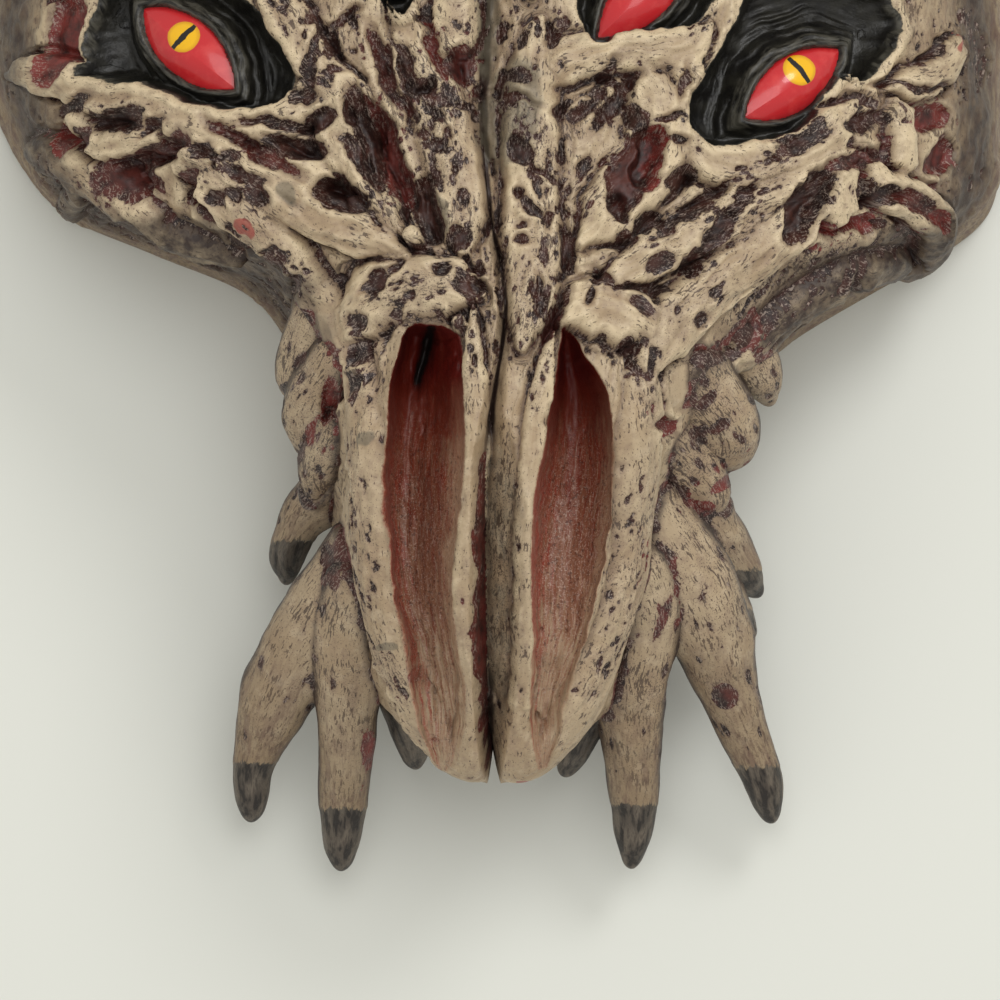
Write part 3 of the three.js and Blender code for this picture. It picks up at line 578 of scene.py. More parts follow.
def stand_bands(skin):
    """Raises each band as a round bar along its path, and keeps its furrow and the flow of its grain."""
    base, count = skin["base"], len(skin["base"])
    bars, furrow = np.full(count, NO_BAND), np.zeros(count)
    flow_cos, flow_sin = np.full(count, -0.02), np.zeros(count)
    nearest = np.full(count, 2.5)
    grain_at = np.stack([base[:, 1] * 0.3, base[:, 0], base[:, 2] * 0.5], -1)
    for number, (height, radius, run) in enumerate(BANDS):
        run = np.array(run, float)
        reach = radius * BAND_FLATNESS + BAND_REACH
        low, high = run.min(0) - reach, run.max(0) + reach
        near = np.flatnonzero(((base[:, :2] > low) & (base[:, :2] < high)).all(1) & (base[:, 2] > 20))
        if not len(near):
            continue
        course = smooth_rows(run, np.linspace(0, 1, 4 * len(run)))
        course = np.column_stack([course, face_height(course[:, 0], course[:, 1])])
        warped = base[near] + np.column_stack([skin["warp"][near] * 0.7, np.zeros(len(near))])
        gap, travelled, total = to_path(warped, course)
        # A round bar, thinner towards its ends, and the furrow along its foot.
        t = travelled / total
        taper = np.minimum(1, 0.2 + 6 * t * (1 - t))
        half = radius * BAND_FLATNESS * taper
        bulge = np.sqrt(np.maximum(0, 1 - (gap / half) ** 2))
        bar = np.where(gap < half, (height - radius) * taper + radius * taper * bulge, NO_BAND)
        foot = half * math.sqrt(max(0.05, 1 - ((radius - height - 1) / radius) ** 2))
        furrow[near] = np.maximum(furrow[near], np.exp(-((gap - foot - 0.5) / 1.1) ** 2))
        bars[near] = join_high(bars[near], bar, BAND_WEB)
        # The grain runs along the nearest band. Angles are doubled, so that both ways along it count as one.
        ahead = np.gradient(course, axis=0)
        heading = 2 * np.arctan2(ahead[:, 1], ahead[:, 0])
        spot = np.clip((t * (len(course) - 1)).astype(int), 0, len(course) - 1)
        pull = np.exp(-(gap / BAND_PULL) ** 2)
        flow_cos[near] += pull * np.cos(heading[spot])
        flow_sin[near] += pull * np.sin(heading[spot])
        mine = gap - half < nearest[near]
        grain_at[near[mine]] = np.column_stack([travelled * 0.3 + 60 * number, gap, 0 * gap])[mine]
        nearest[near] = np.minimum(nearest[near], gap - half)
    heading = 0.5 * np.arctan2(flow_sin, flow_cos)
    flow = np.column_stack([np.cos(heading), np.sin(heading), np.zeros(count)])
    flow -= skin["out"] * (skin["out"] * flow).sum(1, keepdims=True)
    flow /= np.maximum(np.linalg.norm(flow, axis=1, keepdims=True), 1e-6)
    skin.update(flow=flow, grain_at=grain_at)
    # The ground between the bands, then creases along the grain, then beads and lobes.
    ground = -0.5 - 2.4 * skin["worked"] + 1.1 * rough(base, 15.0, 5) + 0.4 * rough(base, 5.0, 9)
    relief = join_high(ground, bars, BAND_FOOT)
    on_band = step(-0.4, 1.6, bars)
    relief -= 1.1 * furrow * (1 - on_band) * skin["worked"]
    relief += 0.8 * (0.4 - np.abs(rough(grain_at, 3.4, 77))) * skin["worked"]
    relief += 0.25 * rough(grain_at * (1, 1.3, 1), 1.7, 71)
    for x, y, long, wide, turn, height in LIFTED:
        near = np.flatnonzero((np.abs(base[:, 0] - x) < 9) & (np.abs(base[:, 1] - y) < 9) & (base[:, 2] > 30))
        a, b = local(skin["plan"][near], x, y, turn)
        dome = height * np.sqrt(np.maximum(0, 1 - (a / long) ** 2 - (b / wide) ** 2))
        relief[near] = join_high(relief[near], np.where(dome > 0, dome + 1.0, NO_BAND), 1.2)
    low = -crest_of(relief.reshape(ROWS, OUTER_COLUMNS)).ravel()
    skin.update(relief=relief, on_band=on_band, furrow=furrow, low=low)


def sink_pits(skin):
    """Sinks the pits, with steep uneven edges and a faint lip, and strews smaller ones along the flow."""
    base, look, relief = skin["base"], skin["look"], skin["relief"]
    for x, y, long, wide, turn, deep, flesh in PITS:
        reach = max(long, wide) + 4
        box = (np.abs(base[:, 0] - x) < reach) & (np.abs(base[:, 1] - y) < reach) & (skin["out"][:, 2] > 0)
        near = np.flatnonzero(box)
        if not len(near):
            continue
        a, b = local(skin["plan"][near] + 0.5 * skin["warp"][near], x, y, turn)
        ring = (np.abs(a / long) ** 2.3 + np.abs(b / wide) ** 2.3) ** (1 / 2.3)
        steep = np.maximum(step(0.25, 0.1, skin["out"][near, 2]), step(50, 38, base[near, 2]))
        inside = (1.12 - ring) * wide - 4 * steep
        sunk = (0.7 + 1.15 * deep) * step(-0.7, min(1.5, 0.8 * wide), inside)
        relief[near] -= sunk - 0.3 * np.exp(-((inside + 1.0) / 0.6) ** 2)
        look["red"][near] = np.where(inside > look["pit"][near], flesh, look["red"][near])
        look["pit"][near] = np.maximum(look["pit"][near], inside)

    # Pores: thick on the ground, in furrows and in the patches named for it, and none on the low flanks.
    thick = 0.2 + 0.5 * skin["furrow"] + 0.35 * rough(base, 18.0, 91)
    thick *= (1 - 0.55 * skin["on_band"]) * (0.4 + 0.6 * skin["worked"])
    for x, y, long, wide, turn, share in SPONGE:
        a, b = local(skin["plan"], x, y, turn)
        thick = np.maximum(thick, share * step(1.3, 0.6, np.hypot(a / long, b / wide)))
    thick = np.maximum(thick, step(0.2, 1.3, skin["low"]) * skin["worked"])
    # Painted shade: the steep flanks, which turn away from above, are darkened.
    flank = step(0.72, 0.4, skin["out"][:, 2]) * step(4, 30, base[:, 2]) * step(58, 44, base[:, 1])
    flank *= step(-48, -40, base[:, 1])
    look["wash"] = np.maximum(look["wash"], FLANK_SHADE * flank)
    thick = np.clip(thick, 0, 1) * step(8, 28, base[:, 2])
    drift = base + 0.5 * rough(base, 1.8, 101)[:, None]
    holes = pores(drift, skin["flow"], PORE_CELL, 2.2, PORE_RADIUS, thick, 5)
    relief -= 1.4 * step(-0.3, 0.7, holes)
    look["pit"] = np.maximum(look["pit"], holes)
    holes = pores(drift, skin["flow"], SMALL_CELL, 1.8, SMALL_RADIUS, np.minimum(thick * 1.2, 1), 25)
    relief -= 0.6 * step(-0.2, 0.4, holes)
    look["pit"] = np.maximum(look["pit"], holes)
    look["sponge"] = thick


def sink_sockets(skin):
    """Sinks the bowls of the eyes: a steep wall inside each edge, then swollen lids in folds."""
    base, look, relief = skin["base"], skin["look"], skin["relief"]
    for socket in SOCKETS.values():
        x, y, long, wide, turn, _ = eye_seat(socket["eye"])
        beside = np.abs(base[:, :2] - (x, y)) < (42, 36)
        near = np.flatnonzero(beside.all(1) & (base[:, 2] > 25))
        if not len(near):
            continue
        inside, reach = edge_depth(skin["plan"][near], socket["edge"])
        depth_in = inside * reach
        a, b = local(base[near, :2] + 0.25 * skin["warp"][near], x, y, turn)
        beyond = almond(a, b, long, wide)
        # The bowl, the lids in it with a raised edge round the eye, and a seat for the eye.
        bowl = SOCKET_DEPTH * np.sqrt(np.clip(1 - np.clip(1 - inside, 0, 1) ** 4, 0, 1))
        wave = beyond + 0.9 * rough(base[near], 7.0, 131)
        folds = 0.6 * np.sin(wave * 2 * math.pi / 2.5) * (0.7 + 0.5 * rough(base[near], 9.0, 137))
        folds += 0.3 * rough(np.column_stack([a * 0.25, wave * 1.8, b * 0.0]), 1.6, 141)
        lids = -LID_DROP - 7.5 * step(1.0, LID_WIDTH, beyond) + folds * step(0.2, 2.2, beyond)
        lids += 1.1 * np.exp(-((beyond - 1.3) / 1.1) ** 2)
        under_eye = -LID_DROP - 0.8 - 1.2 * np.clip(-beyond, 0, 4)
        floor = join_high(-bowl, np.where(beyond > 0, lids, under_eye), 1.5)
        floor = np.minimum(floor, relief[near])
        wall = step(-0.15, 1.5, depth_in)
        rim_up = 0.8 * np.exp(-((depth_in + 1.5) / 1.3) ** 2)
        relief[near] = (relief[near] + rim_up) * (1 - wall) + floor * wall
        look["soot"][near] = np.maximum(look["soot"][near], depth_in)
        # Wash and painted shade in the crease round the eye, where it sinks under the lids.
        look["wash"][near] = np.maximum(look["wash"][near], np.exp(-np.abs(beyond) / 0.8) * (depth_in > 0))
        skin["grain_at"][near[depth_in > 0]] = np.column_stack([a * 0.25, wave * 1.3, 0 * a])[depth_in > 0]
        clear_pits(look, near[depth_in > 0])


def clear_pits(look, where):
    """Takes the paint of pits away where a socket or a nostril has cut the skin off."""
    look["pit"][where] = NOT_IN
    look["sponge"][where] = 0


def cut_nostrils(skin, carved):
    """Cuts the nostrils straight down as troughs with steep walls and fine strands along them."""
    base, look, relief, out = skin["base"], skin["look"], skin["relief"], skin["out"]
    near = np.flatnonzero((base[:, 1] < -32) & (base[:, 1] > -156) & (base[:, 2] > 40))
    if not len(near):
        return
    for number, rows in enumerate(NOSTRILS):
        y = skin["plan"][near, 1]
        order = np.argsort(rows[:, 0])
        left, right, deep = (np.interp(y, rows[order, 0], rows[order, k]) for k in (1, 2, 3))
        half = np.maximum((right - left) / 2, 0.4)
        across = (base[near, 0] + 0.3 * skin["warp"][near, 0] - (left + right) / 2) / half
        end = np.minimum(y - rows[:, 0].min(), rows[:, 0].max() - y)
        inside = np.minimum((1 - np.abs(across)) * half, end)
        strand_at = np.column_stack([y * 0.12 + 50 * number, across * 10, 0 * y])
        # The trough is deepest left of its middle, and has strands down it.
        bent = across + 0.3 * (1 - across ** 2)
        drop = deep * np.clip(1 - np.abs(bent) ** 2.4, 0, 1) ** 0.7 * step(0, 1.2, inside)
        drop -= 0.3 * rough(strand_at, 1.6, 151) * step(0.5, 2.5, inside)
        if number == 0:
            slot = np.exp(-((base[near, 0] + 17 - 0.21 * (y + 39.5)) / 1.7) ** 2) * step(-60, -50, y)
            drop += 5 * slot * step(0, 1, inside)
            look["mould"][near] = np.where(inside > -0.5, slot * step(0, 0.8, inside), look["mould"][near])
        blend = step(0, 0.8, inside)
        over_rim = (relief[near] - np.minimum(RIM_OF_NOSTRIL, relief[near])) * out[near, 2]
        carved[near, 2] -= blend * (np.maximum(drop, 0) + over_rim)
        look["gore"][near] = np.maximum(look["gore"][near], inside)
        within = inside > -1
        look["tone"][near] = np.where(within, np.clip((-38 - y) / 90, 0, 1), look["tone"][near])
        look["lateral"][near] = np.where(within, across, look["lateral"][near])
        skin["grain_at"][near[inside > 0]] = strand_at[inside > 0]
        clear_pits(look, near[inside > 0])


def cut_cleft(skin, carved):
    """Cuts the groove down the middle: a crease, then a valley with a long right slope."""
    base, look, out = skin["base"], skin["look"], skin["out"]
    near = np.flatnonzero(np.abs(base[:, 0]) < 22)
    middle, left, right, deep = at_y(CLEFT, base[near, 1])
    aside = base[near, 0] - middle
    across = np.where(aside < 0, -aside / left, aside / right) + 0.05 * skin["warp"][near, 1]
    inner = np.clip(1 - across, 0, 1)
    groove = np.maximum(deep, 0) * inner ** 1.25
    groove += 0.5 * rough(base[near] * (2.5, 1, 1), 5.0, 171) * step(0, 0.3, inner) * step(0, 5, deep)
    carved[near, 2] -= groove * (0.35 + 0.65 * np.abs(out[near, 2]))
    carved[near, 1] += groove * 0.9 * np.maximum(-out[near, 1], 0) * step(-120, -150, base[near, 1])
    # Red flesh up the left wall between the nostrils, mould on the right slope, and wash and painted shade at
    # the bottom.
    low_part = step(-60, -76, base[near, 1])
    flesh = inner * left - 1.1 + 1.3 * rough(base[near] * (1, 0.6, 1), 4.0, 181)
    flesh = flesh * low_part + NOT_IN * (1 - low_part) - 4 * step(52, 40, base[near, 2])
    flesh = np.where(aside < 0, flesh, NOT_IN)
    look["red"][near] = np.where(flesh > look["pit"][near], 0.5, look["red"][near])
    look["pit"][near] = np.maximum(look["pit"][near], flesh)
    slope = (aside > 0) * low_part * step(0, 0.35, inner) * step(40, 60, base[near, 2])
    look["sponge"][near] = np.maximum(look["sponge"][near], slope)
    look["mould"][near] = np.maximum(look["mould"][near], 0.4 * slope)
    core = step(0.42, 0.1, across) * step(0.5, 2.5, deep)
    core *= 1 - 0.6 * low_part * step(-136, -124, base[near, 1])
    look["wash"][near] = np.maximum(look["wash"][near], core)


def carve(base, out):
    """Carves the plain form: the relief along the way that it looks, then the cuts that go straight down.

    Gives the carved points, the relief, and what the paint goes by at each of them."""
    count = len(base)
    # Edges wander by up to a millimetre, so that no band or pit is an even shape.
    warp = np.stack([rough(base, 7.0, 11), rough(base, 7.0, 23)], -1) * 0.9
    warp += np.stack([rough(base, 2.4, 31), rough(base, 2.4, 43)], -1) * 0.35
    # What the paint goes by: shares from 0 to 1, and millimetres inside a pit, socket, nostril or horn tip.
    look = {name: np.zeros(count) for name in ("red", "sponge", "tone", "wash", "lateral", "blush", "mould")}
    for name in ("pit", "soot", "gore", "tip"):
        look[name] = np.full(count, NOT_IN)
    # How finely the skin is worked: not on the low flanks, and less on the forehead and the snout.
    worked = step(8, 32, base[:, 2]) * step(64, 48, base[:, 1]) * (1 - 0.7 * step(-44, -58, base[:, 1]))
    skin = {"base": base, "out": out, "warp": warp, "plan": base[:, :2] + warp,
            "look": look, "worked": worked}
    stand_bands(skin)
    sink_pits(skin)
    for x, y, long, wide, turn, red in STAINS:
        a, b = local(skin["plan"], x, y, turn)
        share = step(1.25, 0.6, np.hypot(a / long, b / wide)) * (out[:, 2] > 0.2)
        name = "blush" if red else "mould"
        look[name] = np.maximum(look[name], share)
    sink_sockets(skin)
    deepest = -FLANK_DEPTH - 30 * step(0.45, 0.75, out[:, 2])
    skin["relief"] = np.maximum(skin["relief"], deepest)
    carved = base + out * skin["relief"][:, None]
    cut_nostrils(skin, carved)
    cut_cleft(skin, carved)
    look["grain"] = skin["grain_at"]
    return carved, skin["relief"], look


# Claws, knuckles and the short lobes beside the snout: x, y, z and radius along each one, from root to tip.
CLAWS = {
    "left_long_outer": [(-32, -96, 60, 10), (-41, -108, 52, 11), (-48.5, -119, 44, 10.2),
                        (-55.2, -132.5, 34, 9.4), (-61, -149, 24, 5.7), (-61.8, -160.5, 17, 4.7)],
    "left_long_inner": [(-33, -104, 66, 9), (-36, -116, 57, 9), (-37, -130, 47, 8.2), (-37.6, -143, 37, 7.4),
                        (-38.6, -159, 25, 6.3), (-39, -172.7, 17, 4.9)],
    "left_under": [(-26, -122, 46, 5.5), (-22.5, -136, 35, 5.6), (-20.5, -147, 26, 5)],
    "left_low": [(-36, -74, 52, 7), (-46, -84, 40, 6.4), (-52, -94, 31, 5.2), (-52.8, -101.5, 24, 3.4)],
    "right_long_outer": [(36, -84, 64, 10), (46.5, -99, 55, 11.5), (54, -115, 45, 10.8),
                         (59.6, -132.5, 34, 7.4), (66.6, -150, 23, 5.6), (69.6, -161, 16, 4.6)],
    "right_long_inner": [(34, -99, 68, 9), (37.5, -112, 58, 9), (35.5, -126, 48, 8.4), (34.4, -140, 38, 7.8),
                         (35.2, -157, 26, 6.4), (34.7, -172.7, 17, 4.2)],
    "right_under": [(28, -122, 46, 5.8), (23, -136, 35, 5.8), (18.6, -149, 26, 4.8)],
    "right_low": [(42, -76, 58, 9), (52, -87.5, 46, 8.4), (59.5, -97, 36, 6.6), (65.4, -104.6, 27, 4)],
    "right_lower": [(46, -94, 52, 7.5), (57, -107, 38, 5.8), (63.6, -115.5, 27, 3.8)],
    "right_knuckle_top": [(56, -38, 68, 8), (65, -49, 57, 6.6), (68.4, -56, 49, 4.2)],
    "right_knuckle": [(46, -48, 78, 9), (56, -60, 66, 9), (58.8, -67, 56, 7.8), (57, -73, 49, 5)],
    "right_knuckle_low": [(42, -66, 72, 7.5), (52.5, -78, 58, 6.2), (54.6, -84, 50, 4)],
    "left_knuckle_top": [(-44, -36, 72, 7), (-49.6, -49, 60, 5.6), (-50, -56, 52, 4)],
    "left_knuckle": [(-38, -46, 78, 7), (-46.4, -58, 64, 6.6), (-47.4, -68, 54, 4.8)],
    "left_knuckle_low": [(-38, -64, 68, 6.5), (-44, -74, 56, 5), (-45, -80.5, 49, 3.4)],
}
CHIN_SHIFT = 14.0      # how far up the hollow's end is moved behind the seam under the chin
DEEPEST_PIT = 6.0      # what lies deeper is cut straight down, and the wall follows it that way
COLLAR = 6.0           # width over which a claw and the face run into each other
COLLAR_CLAWS = 4.0     # the same between two claws
CLAW_REACH = 20.0      # how far outside a claw its distance is still worked out


def outside_claws(points, skip=None):
    """Distance from points to the nearest claw's plain surface, below 0 inside it."""
    free = np.full(len(points), 99.0)
    for name, rows in CLAWS.items():
        if name == skip:
            continue
        rows = np.array(rows, float)
        low, high = rows[:, :3].min(0) - CLAW_REACH, rows[:, :3].max(0) + CLAW_REACH
        near = np.flatnonzero(((points > low) & (points < high)).all(1))
        if len(near):
            steps = np.linspace(0, 1, 14)
            course = smooth_rows(rows, steps)
            gap, travelled, total = to_path(points[near], course[:, :3])
            own = gap - np.interp(travelled / total, steps, course[:, 3])
            free[near] = np.minimum(free[near], own)
    return free


def inset_ribs():
    """The ribs of the hollow: the crown's and the rim's profiles, moved inwards by the wall."""
    def moved(profile, wall):
        before = np.vstack([profile[:1], profile[:-1]])
        after = np.vstack([profile[1:], profile[-1:]])
        ahead = after - before
        ahead /= np.linalg.norm(ahead, axis=1, keepdims=True)
        return profile + np.column_stack([ahead[:, 1], -ahead[:, 0]]) * wall

    crown = moved(RIBS[:, :2], -WALL)
    half = RIBS[:, 2:4].mean(1)
    rim = moved(np.column_stack([half, RIBS[:, 4]]), WALL)
    narrower = half - rim[:, 0]
    inner = np.column_stack([crown, RIBS[:, 2] - narrower, RIBS[:, 3] - narrower, rim[:, 1], RIBS[:, 5]])
    for end in (0, -1):
        inner[end] = (rim[end, 1], 0, 0, 0, rim[end, 1], RIBS[end, 5])
    inner[:, 1:4] = np.maximum(inner[:, 1:4], 0)
    return inner


def over_window(grid, reach, axis, reduce):
    """Each value replaced by the most or the mean of its neighbours, within some steps along one axis."""
    padded = np.pad(grid, [(reach, reach) if k == axis else (0, 0) for k in range(2)], mode="edge")
    return reduce(np.lib.stride_tricks.sliding_window_view(padded, 2 * reach + 1, axis), axis=-1)


def over_hollow(depths, shares):
    """Depths carved on the outside, at the hollow's columns: the most of the neighbours, smoothed."""
    for axis, most_reach, mean_reach in ((0, 14, 6), (1, 24, 8)):
        depths = over_window(depths, most_reach, axis, np.max)
        depths = over_window(depths, mean_reach, axis, np.mean)
    lane = 2 * np.arange(len(depths))[:, None]
    wanted = np.linspace(1, 0, INNER_COLUMNS) + lane
    at_columns = np.interp(wanted.ravel(), (shares + lane).ravel(), depths.ravel())
    return at_columns.reshape(len(depths), INNER_COLUMNS)


def crest_of(height):
    """How far each point stands over the ground near it: its height less a mean over rows and columns."""
    spread = height
    for _ in range(3):
        for axis in (0, 1):
            spread = over_window(spread, 4, axis, np.mean)
    return height - spread


def inner_wall(v, turns, side, flat, flat_out, carved):
    """The hollow's net, rim to cleft: the inner ribs, moved further in where the relief outside is deep."""
    inner_turns = turns[:, :1] + (turns[:, -1:] - turns[:, :1]) * np.linspace(1, 0, INNER_COLUMNS)
    every_v = np.repeat(v[:, None], INNER_COLUMNS, 1)
    plain = rib_point(every_v, inner_turns)
    inner = rib_point(every_v, inner_turns, inset_ribs())
    inner[..., 1] += CHIN_SHIFT * np.exp(-(inner[..., 0] / 9) ** 2) * step(-118, -148, inner[..., 1])
    shares = (turns - turns[:, :1]) / (turns[:, -1:] - turns[:, :1])
    # Square to the face first, behind pits and furrows.
    depths = np.clip(-((carved - flat) * flat_out).sum(1), 0, DEEPEST_PIT).reshape(turns.shape)
    away = -side * facing(plain)
    already = ((plain - inner) * away).sum(-1)
    more = np.maximum(over_hollow(depths, shares) + 0.6 * WALL - already, 0) * step(0, 8, inner[..., 2])
    inner -= away * more[..., None]
    # Then straight down, under the sockets, the nostrils and the cleft.
    drops = face_height(carved[:, 0], carved[:, 1]) - carved[:, 2]
    drops = np.clip(drops, 0, 2.2 * np.linalg.norm(carved - flat, axis=1)).reshape(turns.shape)
    drops[v > 0.8] = 0
    ceiling = face_height(inner[..., 0], inner[..., 1]) - over_hollow(drops, shares) - 0.7 * WALL
    inner[..., 2] = np.minimum(inner[..., 2], np.maximum(ceiling, 0))
    return inner


def half_casting(side):
    """One half of the casting as a net: cleft to rim outside, under the rim, and back inside to the cleft."""
    v = row_places(ROWS)
    turns = column_turns(v, side, OUTER_COLUMNS)
    base = rib_point(np.repeat(v[:, None], OUTER_COLUMNS, 1), turns)
    out = facing(base) * side
    shape = base.shape
    flat, flat_out = base.reshape(-1, 3), out.reshape(-1, 3)
    carved, relief, look = carve(flat, flat_out)
    fade = step(1.0, 9.0, flat[:, 2]) * step(0, 6, RIBS[0, 4] - flat[:, 1])
    carved = flat + (carved - flat) * fade[:, None]
    # The skin swells where it runs into the claws, and is darkened there with wash and painted shade.
    free = outside_claws(carved)
    swell = np.maximum(COLLAR - np.abs(free), 0) ** 2 / (4 * COLLAR) * step(-3, 0, free)
    carved += flat_out * swell[:, None]
    look["wash"] = np.maximum(look["wash"], 0.7 * np.exp(-np.maximum(free - 0.3, 0) / 1.6))
    seam = 0.7 - np.maximum(free, 0) / 1.5 + 1.5 * rough(flat, 6.0, 311)
    look["red"] = np.where((seam > look["pit"]) & (free < 5), 0.5, look["red"])
    look["pit"] = np.where(free < 5, np.maximum(look["pit"], seam), look["pit"])
    carved[:, 2] = np.maximum(carved[:, 2], 0)

    inner = inner_wall(v, turns, side, flat, flat_out, carved)
    places = np.concatenate([carved.reshape(shape), inner], 1)
    # Low ground is painted as pits are.
    look["crest"] = crest_of(relief.reshape(shape[:2])).ravel()
    low_ground = -0.9 * look["crest"] - 1.35 + 0.6 * rough(flat, 6.0, 301)
    low_ground -= np.where(np.abs(flat[:, 1] + 3) < 60, 0, 0.4) + 3 * step(30, 16, flat[:, 2])
    look["pit"] = np.maximum(look["pit"], np.where(look["gore"] > -1, NOT_IN, low_ground))
    looks = {}
    for name, values in look.items():
        inner_value = NOT_IN if name in ("pit", "soot", "gore", "tip") else 0.0
        outer = values.reshape(*shape[:2], *values.shape[1:])
        inner_values = np.full((ROWS, INNER_COLUMNS, *values.shape[1:]), inner_value)
        looks[name] = np.concatenate([outer, inner_values], 1)
    looks["raw"] = np.zeros(places.shape[:2])
    looks["raw"][:, OUTER_COLUMNS:] = 1
    return places, looks


def net_faces(rows, columns, closed, flip):
    """Four-sided faces between neighbouring rows and columns. If closed, the last column joins the first."""
    i = np.arange(rows - 1)[:, None]
    j = np.arange(columns if closed else columns - 1)[None, :]
    k = (j + 1) % columns
    quad = np.stack([i * columns + j, i * columns + k, (i + 1) * columns + k, (i + 1) * columns + j], -1)
    quad = quad.reshape(-1, 4)
    return quad[:, ::-1] if flip else quad


def join_nets(nets, sides):
    """Several closed nets as one, each made of rings with the same number of points."""
    all_points, all_faces, all_looks, first = [], [], [], 0
    for points, looks in nets:
        all_points.append(points)
        all_faces.append(net_faces(len(points) // sides, sides, True, False) + first)
        all_looks.append(looks)
        first += len(points)
    looks = {name: np.concatenate([row[name] for row in all_looks]) for name in all_looks[0]}
    return np.vstack(all_points), np.vstack(all_faces).tolist(), looks


def add_piece(name, points, faces, looks, material):
    """Makes a mesh of points in millimetres, with its looks as attributes, to stand for the solid.

    Edges between two points that are marked as corners stay sharp."""
    mesh = bpy.data.meshes.new(name)
    mesh.from_pydata((points * MM).tolist(), [], faces)
    for title, values in looks.items():
        values = np.asarray(values, np.float32)
        if values.size == 3 * len(points):
            mesh.attributes.new(title, "FLOAT_VECTOR", "POINT").data.foreach_set("vector", values.ravel())
        else:
            mesh.attributes.new(title, "FLOAT", "POINT").data.foreach_set("value", values.ravel())
    net = bmesh.new()
    net.from_mesh(mesh)
    bmesh.ops.remove_doubles(net, verts=net.verts, dist=2e-6)
    net.to_mesh(mesh)
    net.free()
    mesh.shade_smooth()
    if "corner" in looks:
        marked = np.zeros(len(mesh.vertices), np.float32)
        mesh.attributes["corner"].data.foreach_get("value", marked)
        ends = np.zeros(2 * len(mesh.edges), np.int32)
        mesh.edges.foreach_get("vertices", ends)
        sharp = (marked[ends.reshape(-1, 2)] > 0.5).all(1)
        mesh.attributes.new("sharp_edge", "BOOLEAN", "EDGE").data.foreach_set("value", sharp)
    mesh.materials.append(material)
    piece = bpy.data.objects.new(name, mesh)
    bpy.context.scene.collection.objects.link(piece)
    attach(piece, "root")
    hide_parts("mask")
    return piece


# Bone paint over cast resin: a flat tan acrylic, brushed on, with a purple-brown wash left in the pits,
# pale dry-brushed flecks on the wash, black in the sockets and wet red in the nostrils.
def add_noises(tree, at, vector, unit, noises):
    """Adds noises to the values in hand, each by the width of its lumps in millimetres and its detail."""
    for name, (width, detail) in noises.items():
        inputs = {"Vector": vector, "Scale": 1 / (width * unit), "Detail": detail, "Roughness": 0.6}
        at[name] = node(tree, "ShaderNodeTexNoise", inputs).outputs["Fac"]


def add_sums(tree, at, sums):
    """Adds sums to the values in hand. Each has what it starts from, then values with their weights."""
    for name, (total, *terms) in sums.items():
        for value, weight in terms:
            inputs = {0: at[value], 1: at.get(weight, weight), 2: total}
            total = node(tree, "ShaderNodeMath", inputs, operation="MULTIPLY_ADD").outputs["Value"]
        at[name] = total


def spread(tree, at, thickness, limits):
    """A thickness where each value is past its second limit, and 0 where one is short of its first."""
    for value, none, full in limits:
        inputs = {"Value": at[value], "From Min": none, "From Max": full, "To Max": thickness}
        thickness = node(tree, "ShaderNodeMapRange", inputs).outputs["Result"]
    return thickness


def lay_coats(tree, at, paint, coats):
    """Lays coats of paint in turn. Each has its colour, its thickness, and the limits it lies between."""
    for colour, thickness, *limits in coats:
        inputs = {"Factor": spread(tree, at, thickness, limits), 6: paint, 7: colour}
        paint = node(tree, "ShaderNodeMix", inputs, data_type="RGBA").outputs[2]
    return paint


bone_paint, tree, shader = new_material("bone_paint_on_resin")
place = node(tree, "ShaderNodeTexCoord").outputs["Object"]
grain = node(tree, "ShaderNodeAttribute", attribute_name="grain").outputs["Vector"]
# What the paint goes by: what the carving left at each point, noise that is even all round, noise that is
# drawn out along the grain of the skin, and sums of them. The grain is in millimetres, and place in metres.
at = {name: node(tree, "ShaderNodeAttribute", attribute_name=name).outputs["Fac"]
      for name in ("pit", "red", "sponge", "soot", "gore", "tone", "wash", "lateral", "blush", "mould",
                   "crest", "raw", "tip")}
at["height"] = node(tree, "ShaderNodeSeparateXYZ", {"Vector": place}).outputs["Z"]
add_noises(tree, at, place, MM, {
    "broad": (26.0, 2.0), "gathered": (7.0, 1.0), "middling": (5.0, 3.0), "fine": (1.1, 3.0),
    "grit": (0.45, 2.0)})
add_noises(tree, at, grain, 1.0, {
    "blotch": (2.6, 3.0), "wide_strand": (2.2, 3.0), "horn_streak": (2.0, 3.0), "strand": (1.0, 3.0),
    "dash": (0.6, 2.0), "fibre": (0.42, 3.0)})
add_sums(tree, at, {
    "ragged": (-0.4, ("fine", 0.8)),
    "waver": (-0.5, ("strand", 1.0)),
    "haze": (0.0, ("pit", 1.0), ("ragged", 3.0)),
    "dashes": (-0.225, ("dash", 1.0), ("gathered", 0.45), ("sponge", 0.08)),
    "pepper": (0.0, ("grit", 1.0), ("sponge", 0.09)),
    "dirt_and_shade": (0.0, ("wash", 0.45), ("wash", "middling")),
    "sore": (0.0, ("blush", 1.0), ("strand", 1.0)),
    "mildew": (0.0, ("mould", 1.0), ("middling", 1.6)),
    "pit_edge": (0.0, ("pit", 1.0), ("ragged", 1.0)),
    "scratches": (-0.04, ("grit", 1.0)),
    "soot_edge": (0.0, ("soot", 1.0), ("ragged", 1.0)),
    "down_nostril": (0.0, ("tone", 1.0), ("waver", 1.0)),
    "right_side": (0.0, ("lateral", 1.0), ("waver", 1.0)),
    "left_side": (0.0, ("lateral", 1.0), ("waver", 1.8)),
    "slot": (-0.5, ("mould", 1.0), ("middling", 1.0)),
    "gore_edge": (0.0, ("gore", 1.0), ("ragged", 1.0)),
    "horn_edge": (0.0, ("tip", 1.0), ("waver", 5.0)),
})
fleck_from = {0: at["fibre"], 1: at["scratches"]}
at["flecks"] = node(tree, "ShaderNodeMath", fleck_from, operation="MAXIMUM").outputs["Value"]
at["in_dash"] = spread(tree, at, 1.0, [("dashes", 0.65, 0.675)])
at["in_pit"] = spread(tree, at, 1.0, [("pit_edge", -0.03, 0.09)])
